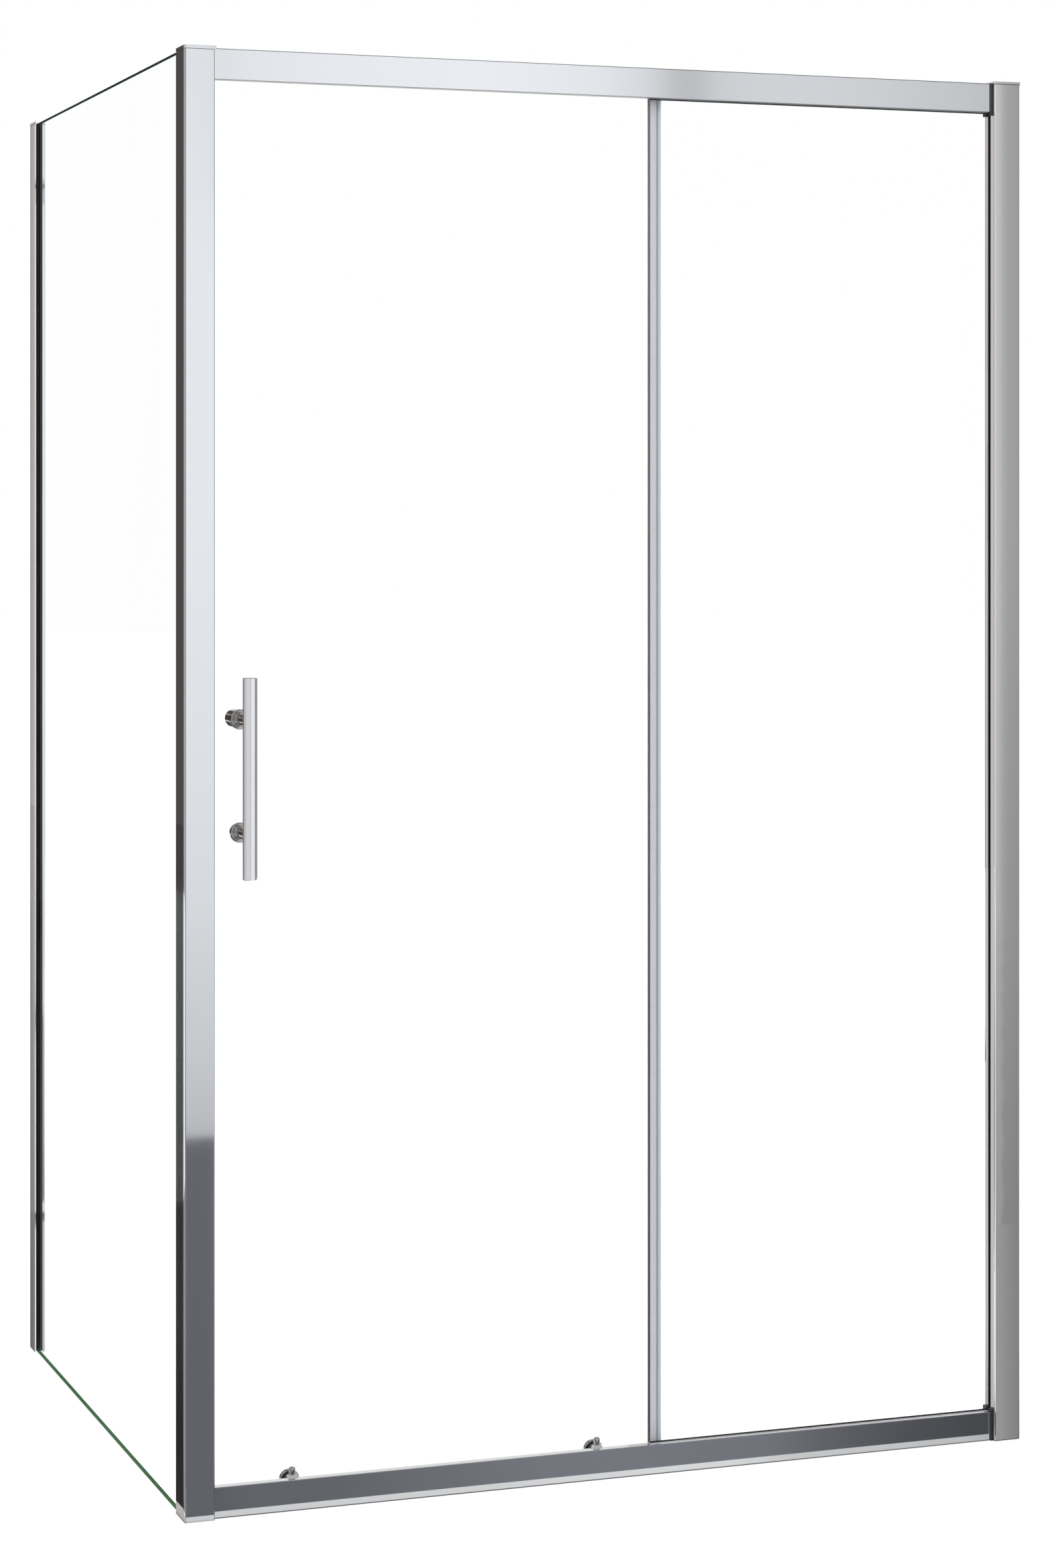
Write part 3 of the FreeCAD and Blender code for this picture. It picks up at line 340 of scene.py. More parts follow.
@dataclass(frozen=True)
class PolishedMetal:
    """Bright metal with faint drawing lines along its length."""

    name: str
    colour: Colour
    along: Axis = Axis.Z
    roughness: float = 0.03
    roughness_range: float = 0.03
    lines_per_metre: float = 1400.0
    line_depth: float = 0.6e-6
    line_strength: float = 0.15
    stretch: float = 0.004
    # These two fields paint shade that deepens across a face.
    shade_band: Optional[Band] = None
    shaded_tone: Colour = (0.40, 0.395, 0.39)
    edges: tuple[ShadedEdge, ...] = ()

    def build(self, shader: Shader) -> None:
        """Fill the tree: streaks in roughness and in relief, painted shade that deepens across
        the face, and painted shade lines along the edges.
        """
        scale = [1.0, 1.0, 1.0]
        scale[self.along.value] = self.stretch
        lines = shader.noise(shader.stretched(scale), self.lines_per_metre, 3.0)
        colour: Tint = self.colour
        # Painted shade: the colour darkens across the band.
        if self.shade_band:
            colour = shader.mixed(self.shade_band.share(shader), colour, self.shaded_tone)
        # Each edge band darkens the colour: painted shade along the edge.
        for edge in self.edges:
            colour = shader.mixed(edge.inside(shader), colour, edge.colour)
        shader.surface("ShaderNodeBsdfPrincipled", {
            "Base Color": painted(colour),
            "Metallic": 1.0,
            "Roughness": self.roughness + self.roughness_range * lines,
            "Normal": shader.bump(lines, self.line_strength, self.line_depth),
        })


@dataclass(frozen=True)
class Plating:
    """Chrome plating, on turned or moulded pieces."""

    name: str
    colour: Colour
    roughness: float = 0.03
    smudge: float = 0.05
    smudges_per_metre: float = 60.0
    clean_share: float = 0.45
    gap: Optional[Band] = None
    shade: Colour = (0.10, 0.10, 0.11)

    def build(self, shader: Shader) -> None:
        """Fill the tree: smooth metal with faint cloudy smudges, and a joint in shade."""
        cloud = shader.noise(shader.place(), self.smudges_per_metre, 4.0)
        smudged = (cloud - self.clean_share).at_least(0.0)
        colour: Tint = self.colour
        if self.gap:
            colour = shader.mixed(self.gap.inside(shader), colour, self.shade)
        shader.surface("ShaderNodeBsdfPrincipled", {
            "Base Color": painted(colour),
            "Metallic": 1.0,
            "Roughness": self.roughness + self.smudge * smudged,
        })


@dataclass(frozen=True)
class BrushedMetal:
    """Steel or plain aluminium with short brush marks."""

    name: str
    colour: Colour
    roughness: float = 0.28
    roughness_range: float = 0.15
    marks_per_metre: float = 2200.0
    stretch: float = 0.15
    mark_strength: float = 0.3
    mark_depth: float = 8e-6

    def build(self, shader: Shader) -> None:
        """Fill the tree: fine marks in roughness and relief."""
        place = shader.stretched((1.0, 1.0, self.stretch))
        marks = shader.noise(place, self.marks_per_metre, 3.0)
        shader.surface("ShaderNodeBsdfPrincipled", {
            "Base Color": painted(self.colour),
            "Metallic": 1.0,
            "Roughness": self.roughness + self.roughness_range * marks,
            "Normal": shader.bump(marks, self.mark_strength, self.mark_depth),
        })


@dataclass(frozen=True)
class ClearGlass:
    """The face of a toughened pane, thin enough to see straight through."""

    name: str
    colour: Colour = (1.0, 1.0, 1.0)
    ior: float = 1.0
    gloss: float = 0.015
    gloss_range: float = 0.02
    gloss_ior: float = 1.5
    waves_per_metre: float = 7.0
    stretch: float = 0.25

    def build(self, shader: Shader) -> None:
        """Fill the tree: clear glass whose gloss shifts slightly, as a roller leaves it."""
        place = shader.stretched((1.0, 1.0, self.stretch))
        wave = shader.noise(place, self.waves_per_metre, 1.0)
        shader.surface("ShaderNodeBsdfPrincipled", {
            "Base Color": painted(self.colour),
            "Roughness": 0.0,
            "IOR": self.ior,
            "Transmission Weight": 1.0,
            "Coat Weight": self.gloss + self.gloss_range * wave,
            "Coat Roughness": 0.0,
            "Coat IOR": self.gloss_ior,
        })


@dataclass(frozen=True)
class GroundEdge:
    """The ground and polished edge of a pane, where the light comes out green."""

    name: str
    light: Colour = (0.16, 0.20, 0.175)
    dark: Colour = (0.055, 0.075, 0.062)
    roughness: float = 0.22
    rise: float = 0.8
    height: float = 1.9
    drift: float = 0.4
    drifts_per_metre: float = 4.0
    grind_per_metre: float = 3000.0
    grind_strength: float = 0.25
    grind_depth: float = 4e-6

    def build(self, shader: Shader) -> None:
        """Fill the tree: green that grows lighter upwards, and grinding marks."""
        slow = shader.noise(shader.place(), self.drifts_per_metre)
        share = shader.coordinate(Axis.Z) * (self.rise / self.height) + self.drift * (slow - 0.25)
        grind = shader.noise(shader.place(), self.grind_per_metre)
        shader.surface("ShaderNodeBsdfPrincipled", {
            "Base Color": shader.mixed(share.at_least(0.0).at_most(1.0), self.dark, self.light),
            "Roughness": self.roughness,
            "Specular IOR Level": 0.0,
            "Normal": shader.bump(grind, self.grind_strength, self.grind_depth),
        })


@dataclass(frozen=True)
class SoftPlastic:
    """Cloudy soft plastic, for the seals. A pane's edge shows through it as a dark line."""

    name: str
    colour: Colour
    roughness: float = 0.3
    roughness_range: float = 0.1
    clouds_per_metre: float = 120.0
    stretch: float = 0.05
    paler: float = 1.06
    cloud_strength: float = 0.2
    cloud_depth: float = 2e-5
    edge: Optional[Band] = None
    edge_colour: Colour = (0.16, 0.18, 0.18)
    beyond: Colour = (0.62, 0.67, 0.69)

    def build(self, shader: Shader) -> None:
        """Fill the tree: pale plastic, a little cloudy along its length."""
        place = shader.stretched((1.0, 1.0, self.stretch))
        cloud = shader.noise(place, self.clouds_per_metre, 3.0)
        pale = tuple(min(1.0, channel * self.paler) for channel in self.colour)
        colour = shader.mixed(cloud, self.colour, pale)
        if self.edge:
            across = shader.coordinate(self.edge.axis)
            for end, tint in zip(self.edge.ends(), (self.edge_colour, self.beyond)):
                colour = shader.mixed(across.above(end), colour, tint)
        shader.surface("ShaderNodeBsdfPrincipled", {
            "Base Color": colour,
            "Roughness": self.roughness + self.roughness_range * cloud,
            "Normal": shader.bump(cloud, self.cloud_strength, self.cloud_depth),
        })


@dataclass(frozen=True)
class Moulding:
    """Opaque plastic or rubber with a fine grain."""

    name: str
    colour: Colour
    roughness: float = 0.45
    roughness_range: float = 0.12
    patches_per_metre: float = 35.0
    paler: float = 1.15
    least_paler: float = 0.004
    grain_per_metre: float = 2600.0
    grain_strength: float = 0.3
    grain_depth: float = 1.2e-5

    def build(self, shader: Shader) -> None:
        """Fill the tree: a fine moulded grain, and faint patches in the gloss."""
        grain = shader.noise(shader.place(), self.grain_per_metre)
        patch = shader.noise(shader.place(), self.patches_per_metre, 3.0)
        pale = tuple(min(1.0, part * self.paler + self.least_paler) for part in self.colour)
        shader.surface("ShaderNodeBsdfPrincipled", {
            "Base Color": shader.mixed(patch, self.colour, pale),
            "Roughness": self.roughness + self.roughness_range * patch,
            "Normal": shader.bump(grain, self.grain_strength, self.grain_depth),
        })


BRIGHT: Colour = (0.80, 0.81, 0.83)
CAST: Colour = (0.78, 0.79, 0.81)
PALE_GREY: Colour = (0.62, 0.63, 0.65)
MILKY: Colour = (0.55, 0.54, 0.58)
# A dark grey for painted shade lines along edges.
EDGE_SHADE: Colour = (0.25, 0.25, 0.26)
# Thin dark lines painted along the post's edges, the rails' edges and feet, and the jamb's edge
# and foot: painted shade.
UPRIGHT = PolishedMetal("upright_polished_profile", BRIGHT, edges=(
    ShadedEdge(Axis.X, 0.8, 1.7, (0.26, 0.26, 0.27)),
    ShadedEdge(Axis.X, 39.0, 41.0, (0.22, 0.22, 0.23)),
))
JAMB_METAL = PolishedMetal(
    "jamb_polished_profile", (0.81, 0.81, 0.812), roughness=0.015, roughness_range=0.015,
    edges=(ShadedEdge(Axis.X, 1197.2, 1199.0, EDGE_SHADE), ShadedEdge(Axis.Z, -1.0, 0.9, EDGE_SHADE)),
)
LEVEL = PolishedMetal("level_polished_profile", (0.84, 0.85, 0.87), Axis.X, edges=(
    ShadedEdge(Axis.Z, -1.0, 1.1),
    ShadedEdge(Axis.Z, 39.1, 39.9),
    ShadedEdge(Axis.Z, 1857.0, 1858.1),
    ShadedEdge(Axis.Z, 1896.3, 1897.6),
))
# The side profile darkens towards its back edge: painted shade.
SHADED_SIDE = PolishedMetal("side_polished_profile", BRIGHT, shade_band=Band(Axis.Y, 951.05, 988.05))
# Dark metal for the broken edges, drawing thin dark outlines: painted shade.
SHADED_ARRIS = BrushedMetal("shaded_arris", (0.16, 0.16, 0.165), 0.4)
CHROME = Plating("bar_chrome", BRIGHT, 0.015, 0.03)
# Chrome for the stems, knob, cap, discs and buttons, painted darker and browner than the bar's
# chrome: painted shade.
SHADED_CHROME = Plating("shaded_turned_chrome", (0.42, 0.405, 0.395))
POST_CAP = Plating("chromed_post_cap", CAST, 0.05, gap=Band(Axis.Z, 1894.8, 1895.4))
END_CAP = Plating("chromed_end_cap", CAST, 0.05, gap=Band(Axis.Z, 1896.0, 1896.6))
PLAIN = BrushedMetal("plain_aluminium_section", PALE_GREY)
STEEL = BrushedMetal("stainless_fixing", (0.55, 0.55, 0.57), 0.22)
PANE_FACE = ClearGlass("clear_pane_face")
PANE_EDGE = GroundEdge("green_pane_edge")
# Shaded and lit copies of the green edge: the near-black one, on the top edges and on the fixed
# and door panes' feet, is painted shade; the bright green one, on the side pane's foot, is
# painted light.
SHADED_PANE_EDGE = GroundEdge("shaded_pane_top", (0.018, 0.032, 0.024), (0.006, 0.012, 0.009))
LIT_PANE_FOOT = GroundEdge("lit_pane_foot", (0.09, 0.20, 0.10), (0.045, 0.115, 0.05))
SEAL = SoftPlastic("pale_seal", MILKY)
LAPPED_SEAL = SoftPlastic("pale_lapped_seal", MILKY, edge=Band(Axis.X, 662.7, 664.0))
WASHER = SoftPlastic("pale_washer", PALE_GREY)
GASKET = Moulding("black_gasket", (0.012, 0.012, 0.014), 0.5)
BLACK = Moulding("black_end_plate", (0.016, 0.016, 0.018), 0.4)
PALE = Moulding("pale_grey_plastic", PALE_GREY, 0.35)


# ------------------------------------------------------------------ mesh toolkit


SAME_POINT_MM = 0.002
FLAT_DEGREES = 1.0


def as_piece(name: str, shape: bmesh.types.BMesh) -> bpy.types.Object:
    """Turn a mesh under construction into an object of the scene.

    Args:
        name: the piece's name.
        shape: the mesh, which is freed.

    Returns:
        The piece.
    """
    mesh = bpy.data.meshes.new(name)
    shape.to_mesh(mesh)
    shape.free()
    piece = bpy.data.objects.new(name, mesh)
    bpy.context.scene.collection.objects.link(piece)
    return piece


def welded_copy(node: str) -> bmesh.types.BMesh:
    """Return a node's mesh with its doubled points joined and its flat faces merged.

    Args:
        node: the CAD node.

    Returns:
        The mesh under construction.
    """
    shape = bmesh.new()
    shape.from_mesh(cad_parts[node].data)
    bmesh.ops.remove_doubles(shape, verts=shape.verts, dist=SAME_POINT_MM * MM)
    bmesh.ops.dissolve_limit(
        shape, angle_limit=math.radians(FLAT_DEGREES), verts=shape.verts, edges=shape.edges
    )
    return shape


# ------------------------------------------------------------------ assemblies


class Assembly:
    """A group of pieces that are fitted and dressed together."""

    sharp_degrees: ClassVar[float] = 38.0
    bevel_steps: ClassVar[int] = 3
    evening: ClassVar[int] = 100

    def dress(self, finish: Finish, *nodes: str, soften: float = 0.0) -> None:
        """Give CAD nodes a finish, and break their sharp edges, which are coloured dark as
        painted shade.

        Args:
            finish: the finish.
            nodes: the nodes' names.
            soften: the width of the broken edge in millimetres, or 0 for none.
        """
        for name in nodes:
            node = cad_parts[name]
            node.data.materials.clear()
            node.data.materials.append(material_of(finish))
            if soften:
                node.data.materials.append(material_of(SHADED_ARRIS))
                self.soften(node, soften)
            LOG.info("dressed %s with %s", name, finish.name)

    def soften(self, piece: bpy.types.Object, width: float) -> None:
        """Break a piece's sharp edges.

        Args:
            piece: the object.
            width: the width of the broken edge, in millimetres.
        """
        weld = piece.modifiers.new("joined_points", "WELD")
        weld.merge_threshold = SAME_POINT_MM * MM
        bevel = piece.modifiers.new("broken_edges", "BEVEL")
        bevel.width = width * MM
        bevel.segments = self.bevel_steps
        bevel.limit_method = "ANGLE"
        bevel.angle_limit = math.radians(self.sharp_degrees)
        bevel.miter_outer = "MITER_ARC"
        # The broken edges take the second, dark material: painted shade.
        bevel.material = 1
        evened = piece.modifiers.new("flat_faces", "WEIGHTED_NORMAL")
        evened.mode = "FACE_AREA"
        evened.weight = self.evening

    def add(self, piece: bpy.types.Object, body: str, slot: str, finishes: Sequence[Finish],
            replaced: str) -> None:
        """Fit a piece in place of a CAD node.

        Args:
            piece: the object.
            body: the body that it rides on.
            slot: not used.
            finishes: its finishes, in the order of its material slots.
            replaced: the CAD node that it stands for.
        """
        for finish in finishes:
            piece.data.materials.append(material_of(finish))
        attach(piece, body)
        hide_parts(replaced)
        LOG.info("fitted %s on %s", piece.name, body)


@dataclass
class Pane(Assembly):
    """A glass pane with ground edges."""

    name: str
    node: str
    body: str
    facing: Axis
    foot: Finish
    arris: float = 0.7
    rim_degrees: float = 60.0
    facing_share: float = 0.9

    def build(self) -> None:
        """Make the pane: its two faces clear, its edges and holes green."""
        shape = welded_copy(self.node)
        sharp = math.radians(self.rim_degrees)
        rims = [
            edge for edge in shape.edges
            if len(edge.link_faces) == 2 and edge.calc_face_angle() > sharp
        ]
        bmesh.ops.bevel(
            shape, geom=rims, offset=self.arris * MM, segments=1, affect="EDGES", profile=0.5
        )
        bmesh.ops.triangulate(shape, faces=shape.faces)
        bmesh.ops.recalc_face_normals(shape, faces=shape.faces)
        low, high = (corner[Axis.Z.value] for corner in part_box(self.node))
        for face in shape.faces:
            face.material_index = self.finish_of(face, low, high)
        pane = as_piece(self.name, shape)
        finishes = [PANE_FACE, PANE_EDGE, SHADED_PANE_EDGE, self.foot]
        self.add(pane, self.body, "clear_glass", finishes, self.node)
        pane.visible_shadow = False
        pane.visible_glossy = False

    def finish_of(self, face: bmesh.types.BMFace, low: float, high: float) -> int:
        """Choose a face's finish.

        Args:
            face: the face.
            low: the height of the pane's foot, in metres.
            high: the height of its top.

        Returns:
            The finish's number: 0 for the clear faces, 1 for the sides, 2 for the top and
            3 for the foot.
        """
        if abs(face.normal[self.facing.value]) > self.facing_share:
            return 0
        height = face.calc_center_median().z
        reach = 2 * self.arris * MM
        if height > high - reach:
            return 2
        if height < low + reach:
            return 3
        return 1


@dataclass
class CornerPost(Assembly):
    """The post, its cap and what is fitted in it."""

    profile_arris: float = 0.3
    cap_arris: float = 0.6

    def build(self) -> None:
        """Dress the post."""
        self.dress(UPRIGHT, "corner_post", soften=self.profile_arris)
        self.dress(POST_CAP, "corner_post_cap", soften=self.cap_arris)
        self.dress(GASKET, "post_gasket")
        self.dress(SEAL, "post_magnet_strip")


@dataclass
class Rails(Assembly):
    """The two rails, their end plates and what holds them."""

    rail_arris: float = 0.7
    plate_arris: float = 0.4
    fixing_arris: float = 0.3
    stop_arris: float = 0.6

    def build(self) -> None:
        """Dress the rails."""
        self.dress(LEVEL, "bottom_rail", "top_rail", soften=self.rail_arris)
        self.dress(BLACK, "bottom_end_plate", "top_end_plate", soften=self.plate_arris)
        self.dress(PLAIN, "post_brackets", "wall_brackets", soften=self.fixing_arris)
        self.dress(STEEL, "rail_screws", soften=self.fixing_arris)
        self.dress(GASKET, "door_stops", soften=self.stop_arris)


@dataclass
class Jamb(Assembly):
    """The profile at the wall with the fixed pane in it."""

    profile_arris: float = 0.3
    channel_arris: float = 0.25
    cap_arris: float = 0.6

    def build(self) -> None:
        """Dress the jamb and make the fixed pane."""
        self.dress(JAMB_METAL, "jamb_profile", soften=self.profile_arris)
        self.dress(PLAIN, "wall_channel", soften=self.channel_arris)
        self.dress(END_CAP, "jamb_cap", soften=self.cap_arris)
        self.dress(GASKET, "jamb_gasket")
        self.dress(STEEL, "jamb_screws", soften=self.profile_arris)
        self.dress(SEAL, "glazing_strips")
        Pane("fixed_pane", "fixed_glass", "frame", Axis.Y, SHADED_PANE_EDGE).build()


@dataclass
class SidePanel(Assembly):
    """The side glass and the profile at its back edge."""

    profile_arris: float = 0.3
    channel_arris: float = 0.25
    cap_arris: float = 0.6

    def build(self) -> None:
        """Dress the side profile and make the side pane."""
        self.dress(SHADED_SIDE, "side_profile", soften=self.profile_arris)
        self.dress(PLAIN, "side_wall_channel", soften=self.channel_arris)
        self.dress(END_CAP, "side_profile_cap", soften=self.cap_arris)
        self.dress(GASKET, "side_gasket")
        self.dress(STEEL, "side_screws", soften=self.profile_arris)
        Pane("side_pane", "side_glass", "frame", Axis.X, LIT_PANE_FOOT).build()


@dataclass
class Door(Assembly):
    """The sliding pane and its seals."""

    def build(self) -> None:
        """Make the pane and dress the seals."""
        Pane("door_pane", "door_glass", "door", Axis.Y, SHADED_PANE_EDGE).build()
        self.dress(SEAL, "door_magnet_seal", "door_bottom_seal")
        self.dress(LAPPED_SEAL, "door_overlap_seal")


@dataclass
class Handle(Assembly):
    """The bar handle."""

    def build(self) -> None:
        """Dress the handle."""
        self.dress(CHROME, "handle_bar")
        self.dress(SHADED_CHROME, "lower_handle_stem", "upper_handle_stem")
        self.dress(SHADED_CHROME, "lower_handle_cap", "upper_handle_knob")
        self.dress(WASHER, "handle_washers")
        self.dress(STEEL, "handle_studs")


@dataclass
class Running(Assembly):
    """The hangers at the top and the sprung guides at the bottom."""

    arris: float = 0.3

    def build(self) -> None:
        """Dress the hangers and the guides."""
        for side in ("left", "right"):
            self.dress(PLAIN, f"{side}_hanger_bracket", soften=self.arris)
            self.dress(
                PALE, f"{side}_hanger_outer_wheel", f"{side}_hanger_inner_wheel",
                f"{side}_guide_wheel", f"{side}_guide_body", f"{side}_release_slider",
                soften=self.arris,
            )
            self.dress(SHADED_CHROME, f"{side}_guide_disc", f"{side}_release_button")
            self.dress(STEEL, f"{side}_release_spring")
        self.dress(STEEL, "hanger_axles", "hanger_bolts", "guide_studs")
        self.dress(SHADED_CHROME, "hanger_discs")
        self.dress(WASHER, "hanger_washers")
        self.dress(GASKET, "guide_gaskets")


# ------------------------------------------------------------------ studio


def grey(tone: float) -> Colour:
    """Return a neutral colour."""
    return (tone, tone, tone)


def cool(tone: float) -> Colour:
    """Return a grey with a trace of blue in it."""
    return (0.98 * tone, tone, 1.015 * tone)


def slate(tone: float) -> Colour:
    """Return a grey with more blue in it."""
    return (0.97 * tone, tone, 1.1 * tone)


def brown(tone: float) -> Colour:
    """Return a grey with a little red in it."""
    return (1.06 * tone, 0.98 * tone, 0.96 * tone)


PLAIN_LIFT: Tones = ((0.0, (1.0, 1.0, 1.0)),)
EYE = (-1076.8, -4323.8, 1308.0)
CEILING = 4.0


class Reflected:
    """Something that only shiny surfaces see."""

    name: str

    def build(self) -> None:
        """Make it."""
        raise NotImplementedError

    def show(self, shape: bmesh.types.BMesh, tones: Tones, lift: Tones) -> None:
        """Give it its tones and hide it from everything but reflections.

        Args:
            shape: the mesh, with a place from 0 to 1 along and up it as its UV map.
            tones: places along it, from 0 to 1, and their colours.
            lift: places up it, from 0 to 1, and what the colours are multiplied by there.
        """
        piece = as_piece(self.name, shape)
        shader = Shader(bpy.data.materials.new(f"{self.name}_tone"))
        place = shader.wire("ShaderNodeTexCoord", output="UV")
        split = shader.node("ShaderNodeSeparateXYZ", inputs={0: place})
        across, height = (Wire(shader, split.outputs[axis]) for axis in (0, 1))
        first, second = shader.ramp(across, tones), shader.ramp(height, lift)
        tone = shader.mixed(1.0, first, second, "MULTIPLY")
        shader.surface("ShaderNodeEmission", {"Color": tone, "Strength": 1.0})
        piece.data.materials.append(shader.owner)
        for ray in ("camera", "diffuse", "transmission", "volume_scatter", "shadow"):
            setattr(piece, f"visible_{ray}", False)


@dataclass(frozen=True)
class Card(Reflected):
    """A flat card. corner, along and up are in metres, from the enclosure's own zero."""

    name: str
    corner: Place
    along: Place
    up: Place
    tones: Tones
    lift: Tones = PLAIN_LIFT

    def build(self) -> None:
        """Make the card."""
        base = Vector(self.corner) + DATUM.point(0, 0, 0)
        along, up = Vector(self.along), Vector(self.up)
        shape = bmesh.new()
        uv = shape.loops.layers.uv.new("card")
        corners = ((0, 0), (1, 0), (1, 1), (0, 1))
        verts = [shape.verts.new(base + a * along + b * up) for a, b in corners]
        for loop, place in zip(shape.faces.new(verts).loops, corners):
            loop[uv].uv = place
        self.show(shape, self.tones, self.lift)


@dataclass(frozen=True)
class Front:
    """A flat stretch of metal: its two ends, its plane, in millimetres, and where it runs."""

    left: float
    right: float
    plane: float
    along: Axis = Axis.X


@dataclass(frozen=True)
class Patch(Reflected):
    """The piece of floor or wall that the camera sees mirrored in a flat stretch of metal.

    near and far are distances in front of it and heights, in metres, and the patch runs from
    one to the other. tones are places along the metal, in millimetres, and their colours.
    """

    name: str
    front: Front
    near: Pair
    far: Pair
    tones: Tones
    lift: Tones = PLAIN_LIFT
    rows: int = 8

    def build(self) -> None:
        """Make the patch, which widens as it leaves the metal."""
        shape = bmesh.new()
        uv = shape.loops.layers.uv.new("card")
        corners = []
        for step in range(self.rows + 1):
            part = step / self.rows
            distance, height = (
                near + part * (far - near) for near, far in zip(self.near, self.far)
            )
            corners.append([
                (shape.verts.new(self.mirrored(end, distance, height)), (side, part))
                for side, end in enumerate((self.front.left, self.front.right))
            ])
        for low, high in zip(corners, corners[1:]):
            ring = (low[0], low[1], high[1], high[0])
            face = shape.faces.new([vert for vert, _ in ring])
            for loop, (_, place) in zip(face.loops, ring):
                loop[uv].uv = place
        width = self.front.right - self.front.left
        tones = tuple(((x - self.front.left) / width, colour) for x, colour in self.tones)
        self.show(shape, tones, self.lift)

    def mirrored(self, end: float, distance: float, height: float) -> Vector:
        """Return the point that the camera sees mirrored at one place on the metal.

        Args:
            end: the place along the metal, in millimetres.
            distance: the point's distance in front of it, in metres.
            height: the point's height above the floor, in metres.

        Returns:
            The point, in the model's metres.
        """
        along = self.front.along.value
        depth = distance / MM
        spot = [0.0, 0.0, height / MM]
        spot[along] = end + (end - EYE[along]) * depth / (self.front.plane - EYE[1 - along])
        spot[1 - along] = self.front.plane - depth
        return DATUM.point(*spot)


@dataclass(frozen=True)
class Surround(Reflected):
    """A round wall about the enclosure's middle, with a colour for each bearing.

    A bearing is in degrees, from 0 in front, straight towards -Y, and growing towards +X.
    """

    name: str
    bearings: Tones
    radius: float = 7.0
    height: float = CEILING
    sides: int = 120

    def build(self) -> None:
        """Make the wall."""
        shape = bmesh.new()
        uv = shape.loops.layers.uv.new("card")
        rims = []
        for level in (0.0, self.height):
            rim = []
            for side in range(self.sides):
                bearing = math.radians(360.0 * side / self.sides - 180.0)
                x, y = self.radius * math.sin(bearing), -self.radius * math.cos(bearing)
                rim.append(shape.verts.new((x, y, level)))
            rims.append(rim)
        low, high = rims
        for side in range(self.sides):
            following = (side + 1) % self.sides
            face = shape.faces.new((low[side], low[following], high[following], high[side]))
            places = ((side, 0), (side + 1, 0), (side + 1, 1), (side, 1))
            for loop, (step, up) in zip(face.loops, places):
                loop[uv].uv = (step / self.sides, up)
        tones = tuple(((bearing + 180.0) / 360.0, colour) for bearing, colour in self.bearings)
        self.show(shape, tones, PLAIN_LIFT)


def lifts(*pairs: Pair) -> Tones:
    """Return a lift from places and factors."""
    return tuple((place, grey(factor)) for place, factor in pairs)


def run(tint: Callable[[float], Colour], *pairs: Pair) -> Tones:
    """Return tones from places and tones, with one tint."""
    return tuple((place, tint(tone)) for place, tone in pairs)


def plain(colour: Colour) -> Tones:
    """Return tones that are one colour all along."""
    return ((0.0, colour),)


# Heights and distances in metres. Layers keep the cards that lie on the floor apart.
FLOOR = -0.0006
LAYER = 0.0001
FRONT_WALL = 5.4
POST_WALL = 6.2
HIGH = 2.2
NEAR_REACH = 0.16
POST = Front(-3.0, 41.0, 0.0)
WIDE_POST = Front(-30.0, 55.0, 0.0)
RAIL = Front(38.0, 1158.0, 6.6)
JAMB = Front(1158.0, 1240.0, 0.0)
WIDE_JAMB = Front(1110.0, 1250.0, 0.0)
HIGH_JAMB = Front(1158.0, 1250.0, 0.0)
SIDE = Front(4.0, 24.0, 951.0)
POST_LEFT = Front(-16.0, 66.0, 0.0, Axis.Y)
SIDE_LEFT = Front(944.0, 998.0, 0.0, Axis.Y)
JAMB_LEFT = Front(-20.0, 50.0, 1160.0, Axis.Y)
JAMB_FLOOR = ((1162, 0.375), (1170, 0.37), (1180, 0.325), (1195, 0.28))
JAMB_HIGH = ((1162, 0.66), (1168, 0.645), (1172, 0.50), (1180, 0.445), (1195, 0.41))


